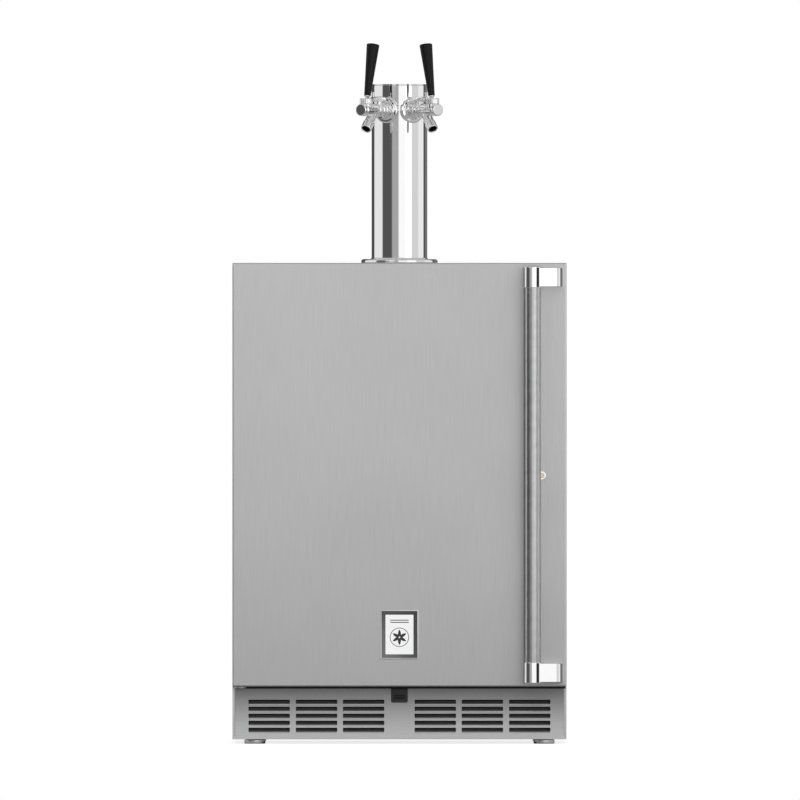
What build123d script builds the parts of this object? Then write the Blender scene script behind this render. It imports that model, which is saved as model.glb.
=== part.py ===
"""Two-tap outdoor beer dispenser: refrigerated keg cabinet, hinged door and draught tower.

Millimetres, +Z up, front towards -Y. The origin is on the floor under the middle of the machine.
"""
from build123d import *
from math import cos, radians, sin
import os

# --- Driving dimensions -----------------------------------------------------------------------
WIDTH = 606.4                 # cabinet and door width
TOP = 873.0                   # worktop height
BACK = 332.5                  # outer face of the rear panel
BODY_FRONT = -214.0           # front plane that the door seal closes on
BODY_LOW = 8.0                # lower edge of the side panels
SHEET = 1.5                   # stainless sheet
HALF = WIDTH / 2
HALF_IN = HALF - SHEET        # inner face of a side panel

CAVITY_HALF = 247.0           # keg compartment half width
CAVITY_FLOOR = 150.0
CAVITY_CEILING = 825.0
CAVITY_BACK = 287.0
HUMP_FRONT = 100.0            # step over the machine compartment
HUMP_TOP = 400.0
LINER = 1.0
FOAM_LOW = 104.0              # underside of the insulated box
FOAM_HUMP = 35.0              # insulation over the machine compartment
FRAME_BACK = BODY_FRONT + 4.0 # rear face of the plastic breaker frame

DOOR_FRONT = -272.0
DOOR_BACK = -222.0
DOOR_LOW = 104.2
DOOR_TOP = 872.6
DOOR_EDGE_RADIUS = 4.0
GASKET_BACK = BODY_FRONT - 0.3
PIVOT_X, PIVOT_Y = -289.0, -247.0   # door hinge axis
PIN_RADIUS = 4.0
RUNNING = 0.05                # radial clearance of pins in their holes

HANDLE_X, HANDLE_Y = 240.6, -316.5
HANDLE_RADIUS = 15.9
FERRULE_RADIUS = 17.5
FERRULE_HEIGHT = 37.5
FERRULE_CENTRES = (129.3, 846.4)

LOCK_X, LOCK_Z = 258.0, 487.0
PLUG_RADIUS = 4.0

KICK_FRONT = -236.0
KICK_TOP = 100.4
SIDE_HEM = 4.2                # visible front return of each side panel
SLOT_SIZE = (75.0, 7.6)
SLOT_COLUMNS = (65.0, 150.5, 236.5)
SLOT_ROW_LOW, SLOT_PITCH, SLOT_ROWS = 25.4, 12.7, 5

LEG_X, LEG_FRONT, LEG_BACK = 262.6, -200.0, 290.0
LEG_PAD_RADIUS, LEG_STEM_RADIUS = 19.0, 5.0

TOWER_Y = 60.0
COLUMN_RADIUS = 50.8
COLUMN_LOW, COLUMN_TOP = 881.0, 1197.2
TOWER_TOP = 1200.0
FLANGE_RADIUS = 69.75
TOWER_HOLE = 40.0

TAP_ANGLE = 28.0              # each tap points this far from straight ahead
TAP_Z = 1152.0
LEVER_X, LEVER_Z = 128.6, 1160.0    # lever ball, by distance from the tower axis
LEVER_LEAN = 13.3             # resting lean of the lever, back towards the tower
LEVER_TIP = 8.0               # length of the lever below its ball

os.makedirs("parts", exist_ok=True)


def save(builder, name):
    """Label a finished piece and write it to its own STEP file."""
    builder.part.label = name
    export_step(builder.part, f"parts/{name}.step")


def block(x_span, y_span, z_span, mode=Mode.ADD):
    """Add or cut a rectangular block, given its span along each axis."""
    spans = (x_span, y_span, z_span)
    with Locations(tuple((low + high) / 2 for low, high in spans)):
        Box(*(high - low for low, high in spans), mode=mode)


def rod(start, end, radius, mode=Mode.ADD):
    """Add or cut a round bar between two points."""
    run = Vector(*end) - Vector(*start)
    with Locations(Plane(origin=start, z_dir=run)):
        Cylinder(radius, run.length, align=(Align.CENTER, Align.CENTER, Align.MIN), mode=mode)


# --- Cabinet shell ----------------------------------------------------------------------------
for side, side_name in ((-1, "left"), (1, "right")):
    outer = (min(side * HALF_IN, side * HALF), max(side * HALF_IN, side * HALF))
    hem = (min(side * (HALF - SIDE_HEM), side * HALF_IN), max(side * (HALF - SIDE_HEM), side * HALF_IN))
    with BuildPart() as side_panel:
        block(outer, (BODY_FRONT, BACK), (BODY_LOW, TOP - SHEET))
        block(outer, (KICK_FRONT, BODY_FRONT), (BODY_LOW, KICK_TOP))
        block(hem, (KICK_FRONT, KICK_FRONT + SHEET), (BODY_LOW, KICK_TOP))
    save(side_panel, f"side_panel_{side_name}")

with BuildPart() as top_panel:
    block((-HALF, HALF), (BODY_FRONT, BACK), (TOP - SHEET, TOP))
    rod((0, TOWER_Y, TOP - 10), (0, TOWER_Y, TOP + 10), TOWER_HOLE, Mode.SUBTRACT)
save(top_panel, "top_panel")

SERVICE_TOP = HUMP_TOP - FOAM_HUMP - LINER
GAS_X, GAS_Z, GAS_RADIUS, BUSH_RADIUS = 180.0, 760.0, 9.5, 14.0
with BuildPart() as rear_panel:
    block((-HALF_IN, HALF_IN), (BACK - SHEET, BACK), (SERVICE_TOP, TOP - SHEET))
    rod((GAS_X, BACK - 9, GAS_Z), (GAS_X, BACK + 9, GAS_Z), BUSH_RADIUS, Mode.SUBTRACT)
save(rear_panel, "rear_panel")

with BuildPart() as rear_service_cover:
    block((-HALF_IN, HALF_IN), (BACK - SHEET, BACK), (BODY_LOW, SERVICE_TOP))
    louvres = [(column * 74, BACK, 70 + row * 34) for column in range(-3, 4) for row in range(7)]
    with Locations(*louvres):
        Box(56, 9, 7, mode=Mode.SUBTRACT)
save(rear_service_cover, "rear_service_cover")

PAN_LOW, PAN_TOP, PAN_FRONT = 14.0, 16.0, -234.5
LEG_PLACES = [(x, y) for x in (-LEG_X, LEG_X) for y in (LEG_FRONT, LEG_BACK)]
with BuildPart() as base_pan:
    block((-HALF_IN, HALF_IN), (PAN_FRONT, BACK - SHEET), (PAN_LOW, PAN_TOP))
    block((-HALF_IN, HALF_IN), (BACK - SHEET - 2, BACK - SHEET), (BODY_LOW, PAN_LOW))
    for leg_x, leg_y in LEG_PLACES:
        rod((leg_x, leg_y, PAN_TOP), (leg_x, leg_y, PAN_TOP + 22), 12)
        rod((leg_x, leg_y, 0), (leg_x, leg_y, 60), LEG_STEM_RADIUS + RUNNING, Mode.SUBTRACT)
save(base_pan, "base_pan")

LOCK_POCKET = ((249.5, 283.0), (461.0, 496.0))
SEAM = 0.1                    # joint between neighbouring foam slabs
with BuildPart() as cabinet_foam:
    foam_side = (CAVITY_HALF + LINER, HALF_IN)
    foam_deep = (FRAME_BACK, BACK - SHEET)
    for side in (-1, 1):
        span = tuple(sorted(side * x for x in foam_side))
        block(span, foam_deep, (FOAM_LOW, TOP - SHEET))
    inside = (-CAVITY_HALF - LINER + SEAM, CAVITY_HALF + LINER - SEAM)
    ceiling, floor = CAVITY_CEILING + LINER, CAVITY_FLOOR - LINER
    hump_face, hump_roof = HUMP_FRONT + LINER, HUMP_TOP - LINER
    block(inside, foam_deep, (ceiling, TOP - SHEET))
    block(inside, (FRAME_BACK, hump_face), (FOAM_LOW, floor))
    block(inside, (hump_face + SEAM, hump_face + FOAM_HUMP), (FOAM_LOW, hump_roof))
    block(inside, (hump_face + FOAM_HUMP + SEAM, BACK - SHEET), (SERVICE_TOP, hump_roof))
    block(inside, (CAVITY_BACK + LINER, BACK - SHEET), (hump_roof + SEAM, ceiling - SEAM))
    rod((0, TOWER_Y, ceiling - 9), (0, TOWER_Y, TOP), TOWER_HOLE, Mode.SUBTRACT)
    rod((GAS_X, 250, GAS_Z), (GAS_X, BACK, GAS_Z), BUSH_RADIUS, Mode.SUBTRACT)
    block(LOCK_POCKET[0], (FRAME_BACK, FRAME_BACK + 14), LOCK_POCKET[1], Mode.SUBTRACT)
save(cabinet_foam, "cabinet_foam")


def cavity_outline(grow):
    """Side outline of the keg compartment, grown outwards by a wall, as (y, z) corners."""
    return [
        (FRAME_BACK, CAVITY_FLOOR - grow), (HUMP_FRONT + grow, CAVITY_FLOOR - grow),
        (HUMP_FRONT + grow, HUMP_TOP - grow), (CAVITY_BACK + grow, HUMP_TOP - grow),
        (CAVITY_BACK + grow, CAVITY_CEILING + grow), (FRAME_BACK, CAVITY_CEILING + grow),
    ]


with BuildPart() as inner_liner:
    with BuildSketch(Plane.YZ):
        with BuildLine():
            Polyline(*cavity_outline(LINER), close=True)
        make_face()
    extrude(amount=CAVITY_HALF + LINER, both=True)
    with BuildSketch(Plane.YZ):
        with BuildLine():
            Polyline(*cavity_outline(0), close=True)
        make_face()
    extrude(amount=CAVITY_HALF, both=True, mode=Mode.SUBTRACT)
    rod((0, TOWER_Y, 800), (0, TOWER_Y, 900), TOWER_HOLE, Mode.SUBTRACT)
    rod((GAS_X, 250, GAS_Z), (GAS_X, BACK, GAS_Z), BUSH_RADIUS, Mode.SUBTRACT)
save(inner_liner, "inner_liner")

with BuildPart() as breaker_frame:
    block((-HALF_IN, HALF_IN), (BODY_FRONT, FRAME_BACK), (FOAM_LOW, TOP - SHEET))
    block((-CAVITY_HALF, CAVITY_HALF), (-300, 0), (CAVITY_FLOOR, CAVITY_CEILING), Mode.SUBTRACT)
    block((LOCK_X - 7, LOCK_X + 7), (-300, 0), LOCK_POCKET[1], Mode.SUBTRACT)
save(breaker_frame, "breaker_frame")

DECK_X, DECK_FRONT, DECK_BACK, DECK_TOP = 240.0, -205.0, 95.0, 157.0
with BuildPart() as keg_deck:
    block((-DECK_X, DECK_X), (DECK_FRONT, DECK_BACK), (CAVITY_FLOOR, CAVITY_FLOOR + 3))
    for rib in range(-11, 12):
        block((rib * 20 - 4, rib * 20 + 4), (DECK_FRONT, DECK_BACK), (CAVITY_FLOOR + 3, DECK_TOP))
save(keg_deck, "keg_deck")

with BuildPart() as kick_grille:
    kick_half = HALF - SIDE_HEM - 0.2
    block((-kick_half, kick_half), (KICK_FRONT, KICK_FRONT + SHEET), (BODY_LOW, KICK_TOP))
    block((-kick_half, kick_half), (KICK_FRONT + SHEET, KICK_FRONT + 14), (KICK_TOP - SHEET, KICK_TOP))
    for slot_x in SLOT_COLUMNS:
        for row in range(SLOT_ROWS):
            slot_z = SLOT_ROW_LOW + row * SLOT_PITCH
            with Locations((-slot_x, KICK_FRONT, slot_z), (slot_x, KICK_FRONT, slot_z)):
                Box(SLOT_SIZE[0], 9, SLOT_SIZE[1], mode=Mode.SUBTRACT)
save(kick_grille, "kick_grille")

with BuildPart() as grille_clip:
    block((-15.15, 15.15), (KICK_FRONT - 2.5, KICK_FRONT), (74.8, KICK_TOP))
    fillet(grille_clip.edges().filter_by(Axis.Y).group_by(Axis.Z)[0], 3.5)
save(grille_clip, "grille_clip")

ARM_HALF = 12.0
with BuildPart() as hinge_brackets:
    for arm_low, arm_top, pin_end in ((101.0, 103.6, 128.0), (866.5, 869.5, 842.0)):
        block((PIVOT_X - ARM_HALF, PIVOT_X + ARM_HALF), (PIVOT_Y, BODY_FRONT), (arm_low, arm_top))
        rod((PIVOT_X, PIVOT_Y, arm_low), (PIVOT_X, PIVOT_Y, arm_top), ARM_HALF)
        rod((PIVOT_X, PIVOT_Y, (arm_low + arm_top) / 2), (PIVOT_X, PIVOT_Y, pin_end), PIN_RADIUS)
    block((PIVOT_X - ARM_HALF, PIVOT_X + ARM_HALF), (BODY_FRONT - 2, BODY_FRONT), (858.5, 866.5))
    block((-HALF_IN, PIVOT_X + ARM_HALF), (BODY_FRONT, BODY_FRONT + 30), (101.0, 103.6))
    block((-HALF_IN, -HALF_IN + 2.5), (BODY_FRONT, BODY_FRONT + 30), (60.0, 101.0))
save(hinge_brackets, "hinge_brackets")

# --- Cooling machine --------------------------------------------------------------------------
CAN_X, CAN_Y, CAN_LOW, CAN_TOP, CAN_RADIUS = -110.0, 236.0, 34.0, 190.0, 68.0
with BuildPart() as compressor:
    rod((CAN_X, CAN_Y, CAN_LOW), (CAN_X, CAN_Y, CAN_TOP), CAN_RADIUS)
    fillet(compressor.edges().filter_by(GeomType.CIRCLE), 24)
    rod((CAN_X, CAN_Y, 108), (CAN_X, CAN_Y, 114), CAN_RADIUS + 4)
    block((CAN_X - 95, CAN_X + 95), (CAN_Y - 22, CAN_Y + 22), (30, 36))
    block((CAN_X + 60, CAN_X + 92), (CAN_Y - 24, CAN_Y + 24), (80, 140))
    for foot_x in (CAN_X - 84, CAN_X + 84):
        rod((foot_x, CAN_Y, PAN_TOP), (foot_x, CAN_Y, 30), 11)
save(compressor, "compressor")

COIL_FRONT, COIL_BACK, COIL_LOW, COIL_TOP = -205.0, -155.0, 22.0, 98.0
with BuildPart() as condenser_coil:
    for fin in range(33):
        fin_x = -232 + fin * 8
        block((fin_x, fin_x + 1), (COIL_FRONT, COIL_BACK), (COIL_LOW, COIL_TOP))
    for pipe_y in (-195.0, -180.0, -165.0):
        for pipe_z in (35.0, 60.0, 85.0):
            rod((-240, pipe_y, pipe_z), (32, pipe_y, pipe_z), 4)
    for end_x in (-241.5, 32.0):
        block((end_x, end_x + 1.5), (COIL_FRONT, COIL_BACK), (PAN_TOP, COIL_TOP))
save(condenser_coil, "condenser_coil")

FAN_X, FAN_Z, FAN_RADIUS, SHROUD_FRONT = -104.0, 60.0, 36.0, -142.0
with BuildPart() as fan_shroud:
    block((-232, 24), (SHROUD_FRONT, SHROUD_FRONT + 2), (PAN_TOP, 100))
    rod((FAN_X, SHROUD_FRONT - 9, FAN_Z), (FAN_X, SHROUD_FRONT + 9, FAN_Z), FAN_RADIUS + 2, Mode.SUBTRACT)
    motor_front, motor_back = SHROUD_FRONT + 22, SHROUD_FRONT + 58
    rod((FAN_X, motor_front, FAN_Z), (FAN_X, motor_back, FAN_Z), 20)
    rod((FAN_X, motor_front - 9, FAN_Z), (FAN_X, motor_front + 9, FAN_Z), 3 + RUNNING, Mode.SUBTRACT)
    for side in (-1, 1):
        strut = tuple(sorted((FAN_X + side * 18, FAN_X + side * 44)))
        block(strut, (motor_front + 4, motor_front + 10), (FAN_Z - 4, FAN_Z + 4))
        leg = tuple(sorted((FAN_X + side * 41, FAN_X + side * 44)))
        block(leg, (SHROUD_FRONT + 2, motor_front + 10), (FAN_Z - 4, FAN_Z + 4))
save(fan_shroud, "fan_shroud")

with BuildPart() as condenser_fan:
    rod((FAN_X, SHROUD_FRONT + 2, FAN_Z), (FAN_X, SHROUD_FRONT + 16, FAN_Z), 11)
    rod((FAN_X, SHROUD_FRONT + 16, FAN_Z), (FAN_X, motor_front + 8, FAN_Z), 3)
    hub_plane = Plane(origin=(FAN_X, SHROUD_FRONT + 9, FAN_Z), x_dir=(1, 0, 0), z_dir=(0, 1, 0))
    for blade in range(5):
        blade_plane = hub_plane * Plane.XY.rotated((0, 0, blade * 72))
        with Locations(blade_plane * Location((22, 0, 0), (35, 0, 0))):
            Box(27, 17, 1.6)
save(condenser_fan, "condenser_fan")

LINE_WALL_X, LINE_Z, DRIER_Y = -240.0, 80.0, (150.0, 300.0)
with BuildPart() as copper_lines:
    line_start = (CAN_X - CAN_RADIUS - 0.3, CAN_Y, LINE_Z)
    with BuildLine():
        line_turn, line_end = (LINE_WALL_X, CAN_Y, LINE_Z), (LINE_WALL_X, COIL_BACK + 0.3, LINE_Z)
        FilletPolyline(line_start, line_turn, line_end, radius=25)
    with BuildSketch(Plane(origin=line_start, z_dir=(-1, 0, 0))):
        Circle(4)
    sweep()
    rod((CAN_X, CAN_Y, CAN_TOP), (CAN_X, CAN_Y, SERVICE_TOP), 5)
    rod((60, DRIER_Y[0], 32), (60, DRIER_Y[1], 32), 14)
    rod((60, COIL_BACK + 0.3, 32), (60, DRIER_Y[0], 32), 3)
save(copper_lines, "copper_lines")

EVAP_LOW, EVAP_TOP, EVAP_HALF = 480.0, 790.0, 190.0
with BuildPart() as evaporator_coil:
    for fin in range(24):
        fin_x = -EVAP_HALF + 8 + fin * 16
        block((fin_x, fin_x + 1.2), (266, 284), (EVAP_LOW, EVAP_TOP))
    for level in range(7):
        pipe_z = EVAP_LOW + 20 + level * 45
        rod((-EVAP_HALF, 275, pipe_z), (EVAP_HALF, 275, pipe_z), 4)
    for side in (-1, 1):
        for level in range(side < 0, 6, 2):
            pipe_z = EVAP_LOW + 20 + level * 45
            rod((side * EVAP_HALF, 275, pipe_z - 4), (side * EVAP_HALF, 275, pipe_z + 49), 4)
save(evaporator_coil, "evaporator_coil")

with BuildPart() as evaporator_cover:
    block((-210, 210), (260, CAVITY_BACK), (460, 805))
    block((-208, 208), (262, 300), (462, 803), Mode.SUBTRACT)
    vent_rows = (490, 508, 526, 740, 758, 776)
    vents = [(column * 66, 260, vent_z) for column in range(-2, 3) for vent_z in vent_rows]
    with Locations(*vents):
        Box(50, 9, 6, mode=Mode.SUBTRACT)
save(evaporator_cover, "evaporator_cover")

PANEL_FRONT, PANEL_LOW, KNOB_X = -190.0, 801.0, 38.0
with BuildPart() as control_housing:
    block((-75, 75), (PANEL_FRONT, -120), (PANEL_LOW, CAVITY_CEILING))
    fillet(control_housing.edges().filter_by(Axis.Z), 6)
    rod((KNOB_X, PANEL_FRONT - 9, 813), (KNOB_X, PANEL_FRONT + 12, 813), 3 + RUNNING, Mode.SUBTRACT)
    block((-60, -10), (-170, -140), (PANEL_LOW - 9, PANEL_LOW + 3), Mode.SUBTRACT)
save(control_housing, "control_housing")

with BuildPart() as light_lens:
    block((-60, -10), (-170, -140), (PANEL_LOW - 1, PANEL_LOW + 3))
save(light_lens, "light_lens")

with BuildPart() as thermostat_knob:
    rod((KNOB_X, PANEL_FRONT - 12, 813), (KNOB_X, PANEL_FRONT - 0.4, 813), 10)
    rod((KNOB_X, PANEL_FRONT - 1, 813), (KNOB_X, PANEL_FRONT + 10, 813), 3)
    block((KNOB_X - 1.2, KNOB_X + 1.2), (PANEL_FRONT - 14, PANEL_FRONT - 12), (813, 822))
save(thermostat_knob, "thermostat_knob")

with BuildPart() as gas_port_bushing:
    rod((GAS_X, CAVITY_BACK - 2, GAS_Z), (GAS_X, BACK, GAS_Z), BUSH_RADIUS)
    for flange_y in (CAVITY_BACK - 2, BACK):
        rod((GAS_X, flange_y, GAS_Z), (GAS_X, flange_y + 1.5, GAS_Z), BUSH_RADIUS + 4)
    rod((GAS_X, 250, GAS_Z), (GAS_X, 350, GAS_Z), GAS_RADIUS, Mode.SUBTRACT)
save(gas_port_bushing, "gas_port_bushing")

for (leg_x, leg_y), corner in zip(LEG_PLACES, ("front_left", "rear_left", "front_right", "rear_right")):
    with BuildPart() as leveling_leg:
        rod((leg_x, leg_y, 0), (leg_x, leg_y, 7.3), LEG_PAD_RADIUS)
        chamfer(leveling_leg.edges().group_by(Axis.Z)[-1], 1.2)
        rod((leg_x, leg_y, 7.3), (leg_x, leg_y, 13.7), 8.5)
        rod((leg_x, leg_y, 7), (leg_x, leg_y, 60), LEG_STEM_RADIUS)
    save(leveling_leg, f"leveling_leg_{corner}")

# --- Door -------------------------------------------------------------------------------------
POCKET_X, POCKET_Y = (-HALF - 9, PIVOT_X + ARM_HALF + 2.5), (-267.0, DOOR_BACK + 9)
POCKET_Z = (864.3, DOOR_TOP - SHEET)
PIN_HOLES = ((95.0, 132.0), (838.0, 866.0))


def cut_hinge_room():
    """Cut the top hinge pocket and both pin holes out of a door layer."""
    block(POCKET_X, POCKET_Y, POCKET_Z, Mode.SUBTRACT)
    for low, high in PIN_HOLES:
        rod((PIVOT_X, PIVOT_Y, low), (PIVOT_X, PIVOT_Y, high), PIN_RADIUS + RUNNING, Mode.SUBTRACT)


def cut_lock_hole(radius):
    """Cut the lock's hole through a door layer."""
    rod((LOCK_X, DOOR_FRONT - 9, LOCK_Z), (LOCK_X, DOOR_BACK + 9, LOCK_Z), radius, Mode.SUBTRACT)


LOCK_BODY_RADIUS = 7.0
with BuildPart() as door_skin:
    block((-HALF, HALF), (DOOR_FRONT, DOOR_BACK - 2), (DOOR_LOW, DOOR_TOP))
    fillet(door_skin.edges().filter_by(Axis.Z).group_by(Axis.Y)[0], DOOR_EDGE_RADIUS)
    block((-HALF_IN, HALF_IN), (DOOR_FRONT + SHEET, DOOR_BACK), (DOOR_LOW + SHEET, DOOR_TOP - SHEET),
          Mode.SUBTRACT)
    cut_hinge_room()
    cut_lock_hole(LOCK_BODY_RADIUS)
save(door_skin, "door_skin")

with BuildPart() as door_foam:
    block((-HALF_IN, HALF_IN), (DOOR_FRONT + SHEET, DOOR_BACK - 2), (DOOR_LOW + SHEET, DOOR_TOP - SHEET))
    fillet(door_foam.edges().filter_by(Axis.Z).group_by(Axis.Y)[0], DOOR_EDGE_RADIUS - SHEET)
    cut_hinge_room()
    cut_lock_hole(LOCK_BODY_RADIUS)
save(door_foam, "door_foam")

with BuildPart() as door_liner:
    block((-HALF, HALF), (DOOR_BACK - 2, DOOR_BACK), (DOOR_LOW, DOOR_TOP))
    block((-225, 225), (DOOR_BACK - 1, DOOR_BACK + 9), (180, 795), Mode.SUBTRACT)
    cut_hinge_room()
    cut_lock_hole(LOCK_BODY_RADIUS)
save(door_liner, "door_liner")

SEAL_HALF, SEAL_LOW, SEAL_TOP, SEAL_WIDE = 287.0, 122.0, 856.0, 18.0
with BuildPart() as door_gasket:
    block((-SEAL_HALF, SEAL_HALF), (DOOR_BACK, GASKET_BACK), (SEAL_LOW, SEAL_TOP))
    block((-SEAL_HALF + SEAL_WIDE, SEAL_HALF - SEAL_WIDE), (DOOR_BACK - 9, 0),
          (SEAL_LOW + SEAL_WIDE, SEAL_TOP - SEAL_WIDE), Mode.SUBTRACT)
    fillet(door_gasket.edges().filter_by(Axis.Y), 2)
save(door_gasket, "door_gasket")

FOOT_NEAR, FOOT_FAR = 262.0, 297.0
FERRULE_LOW, FERRULE_HIGH = FERRULE_CENTRES
TUBE_LOW, TUBE_HIGH = ((HANDLE_X, HANDLE_Y, z) for z in (FERRULE_LOW - 14, FERRULE_HIGH + 14))
with BuildPart() as handle_tube:
    rod(TUBE_LOW, TUBE_HIGH, HANDLE_RADIUS)
    rod((HANDLE_X, HANDLE_Y, 0), (HANDLE_X, HANDLE_Y, 900), HANDLE_RADIUS - 1.6, Mode.SUBTRACT)
save(handle_tube, "handle_tube")

ARM_TALL = 34.5
with BuildPart() as handle_brackets:
    for centre in FERRULE_CENTRES:
        low, high = centre - FERRULE_HEIGHT / 2, centre + FERRULE_HEIGHT / 2
        rod((HANDLE_X, HANDLE_Y, low), (HANDLE_X, HANDLE_Y, high), FERRULE_RADIUS)
        with BuildSketch(Plane.XY.offset(centre - ARM_TALL / 2)):
            with BuildLine():
                Polyline((HANDLE_X, HANDLE_Y + 13), (250, -300), (FOOT_NEAR, -287), (FOOT_NEAR, DOOR_FRONT),
                         (FOOT_FAR, DOOR_FRONT), (FOOT_FAR, -286), (FOOT_FAR - 5, HANDLE_Y + 3),
                         (HANDLE_X + 13, HANDLE_Y - 11.7), (HANDLE_X, HANDLE_Y - 9), close=True)
            make_face()
        extrude(amount=ARM_TALL)
    rod(TUBE_LOW, TUBE_HIGH, HANDLE_RADIUS, Mode.SUBTRACT)
save(handle_brackets, "handle_brackets")

BADGE_Z = 198.6
with BuildPart() as badge_frame:
    block((-34.5, 34.5), (DOOR_FRONT - 3.5, DOOR_FRONT), (BADGE_Z - 44.5, BADGE_Z + 44.5))
    chamfer(badge_frame.faces().sort_by(Axis.Y)[0].edges(), 1.2)
    block((-25.5, 25.5), (DOOR_FRONT - 9, DOOR_FRONT + 9), (BADGE_Z - 37.5, BADGE_Z + 37.5), Mode.SUBTRACT)
save(badge_frame, "badge_frame")

with BuildPart() as badge_plate:
    block((-25.5, 25.5), (DOOR_FRONT - 1.5, DOOR_FRONT), (BADGE_Z - 37.5, BADGE_Z + 37.5))
save(badge_plate, "badge_plate")

CAM_FRONT, CAM_BACK = FRAME_BACK + 0.6, FRAME_BACK + 3.4
with BuildPart() as lock_housing:
    rod((LOCK_X, DOOR_FRONT, LOCK_Z), (LOCK_X, DOOR_BACK, LOCK_Z), LOCK_BODY_RADIUS)
    rod((LOCK_X, DOOR_FRONT - 2.5, LOCK_Z), (LOCK_X, DOOR_FRONT, LOCK_Z), 8)
    cut_lock_hole(PLUG_RADIUS + RUNNING)
save(lock_housing, "lock_housing")

with BuildPart() as lock_plug:
    rod((LOCK_X, DOOR_FRONT - 3, LOCK_Z), (LOCK_X, CAM_BACK, LOCK_Z), PLUG_RADIUS)
    block((LOCK_X - 5, LOCK_X + 5), (CAM_FRONT, CAM_BACK), (LOCK_Z - 21, LOCK_Z + 5))
    block((LOCK_X - 0.7, LOCK_X + 0.7), (DOOR_FRONT - 9, DOOR_FRONT + 6), (LOCK_Z - 2.6, LOCK_Z + 2.6),
          Mode.SUBTRACT)
save(lock_plug, "lock_plug")

# --- Draught tower ----------------------------------------------------------------------------
with BuildPart() as tower_gasket:
    rod((0, TOWER_Y, TOP), (0, TOWER_Y, TOP + 1), FLANGE_RADIUS - 1)
    rod((0, TOWER_Y, TOP - 9), (0, TOWER_Y, TOP + 9), TOWER_HOLE, Mode.SUBTRACT)
save(tower_gasket, "tower_gasket")

SCREW_CIRCLE, SCREW_RADIUS = 60.5, 2.5
with BuildPart(Plane(origin=(0, TOWER_Y, 0))) as tower_flange:
    rod((0, 0, TOP + 1), (0, 0, COLUMN_LOW), FLANGE_RADIUS)
    fillet(tower_flange.edges().group_by(Axis.Z)[-1], 2)
    rod((0, 0, TOP - 9), (0, 0, COLUMN_LOW + 9), TOWER_HOLE, Mode.SUBTRACT)
    with PolarLocations(SCREW_CIRCLE, 4, start_angle=45):
        with Locations((0, 0, COLUMN_LOW)):
            Cylinder(SCREW_RADIUS, 40, mode=Mode.SUBTRACT)
save(tower_flange, "tower_flange")

with BuildPart(Plane(origin=(0, TOWER_Y, 0))) as tower_screws:
    with PolarLocations(SCREW_CIRCLE, 4, start_angle=45):
        with Locations((0, 0, COLUMN_LOW + 1.4)):
            Cylinder(4.6, 2.8)
        with Locations((0, 0, (COLUMN_LOW + TOP + 1) / 2)):
            Cylinder(SCREW_RADIUS, COLUMN_LOW - TOP - 1)
    fillet(tower_screws.edges().group_by(Axis.Z)[-1], 1.8)
save(tower_screws, "tower_screws")

SHANK_RADIUS, SHANK_IN, SHANK_OUT = 11.0, 36.0, 74.0
COLUMN_IN = COLUMN_RADIUS - SHEET


def tap_plane(side):
    """Working plane of one tap: x runs out from the tower axis along the tap, z is up."""
    aim = (side * sin(radians(TAP_ANGLE)), -cos(radians(TAP_ANGLE)), 0)
    return Plane(origin=(0, TOWER_Y, 0), x_dir=aim, z_dir=(0, 0, 1))


with BuildPart() as tower_column:
    rod((0, TOWER_Y, COLUMN_LOW), (0, TOWER_Y, COLUMN_TOP), COLUMN_RADIUS)
    rod((0, TOWER_Y, COLUMN_LOW - 9), (0, TOWER_Y, COLUMN_TOP + 9), COLUMN_IN, Mode.SUBTRACT)
    for side in (-1, 1):
        with Locations(tap_plane(side) * Location((50, 0, TAP_Z), (0, 90, 0))):
            Cylinder(SHANK_RADIUS + 0.1, 30, mode=Mode.SUBTRACT)
save(tower_column, "tower_column")

SLEEVE_BORE, SLEEVE_TOP = 30.0, 1128.0
with BuildPart() as tower_insulation:
    rod((0, TOWER_Y, COLUMN_LOW), (0, TOWER_Y, SLEEVE_TOP), COLUMN_IN)
    rod((0, TOWER_Y, COLUMN_LOW - 9), (0, TOWER_Y, SLEEVE_TOP + 9), SLEEVE_BORE, Mode.SUBTRACT)
save(tower_insulation, "tower_insulation")

with BuildPart() as tower_cap:
    rod((0, TOWER_Y, COLUMN_TOP + 0.3), (0, TOWER_Y, TOWER_TOP), COLUMN_RADIUS)
    fillet(tower_cap.edges().group_by(Axis.Z)[-1], 1)
    rod((0, TOWER_Y, 1182), (0, TOWER_Y, COLUMN_TOP + 0.3), COLUMN_IN - 0.3)
    rod((0, TOWER_Y, 1180), (0, TOWER_Y, COLUMN_TOP - 1), COLUMN_IN - 2.3, Mode.SUBTRACT)
save(tower_cap, "tower_cap")

LINE_RADIUS, LINE_X, LINE_LOW = 5.5, 18.0, 808.0
with BuildPart() as line_bulkhead:
    rod((0, TOWER_Y, 818), (0, TOWER_Y, 842), TOWER_HOLE)
    rod((0, TOWER_Y, 814), (0, TOWER_Y, CAVITY_CEILING), TOWER_HOLE + 6)
    for side in (-1, 1):
        with Locations(tap_plane(side) * Location((LINE_X, 0, 830))):
            Cylinder(LINE_RADIUS, 90, mode=Mode.SUBTRACT)
save(line_bulkhead, "line_bulkhead")

with BuildPart() as beer_lines:
    for side in (-1, 1):
        plane = tap_plane(side)
        corners = ((SHANK_IN, 0, TAP_Z), (LINE_X, 0, TAP_Z), (LINE_X, 0, LINE_LOW))
        route = [plane.from_local_coords(corner) for corner in corners]
        with BuildLine():
            FilletPolyline(*route, radius=17)
        with BuildSketch(Plane(origin=route[0], z_dir=-plane.x_dir)):
            Circle(LINE_RADIUS)
        sweep()
save(beer_lines, "beer_lines")


def radial_rod(side, span, height, radius, mode=Mode.ADD):
    """Add or cut a round bar that runs out from the tower along one tap, at one height."""
    plane = tap_plane(side)
    start, end = (plane.from_local_coords((x, 0, height)) for x in span)
    rod(start, end, radius, mode)


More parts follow.
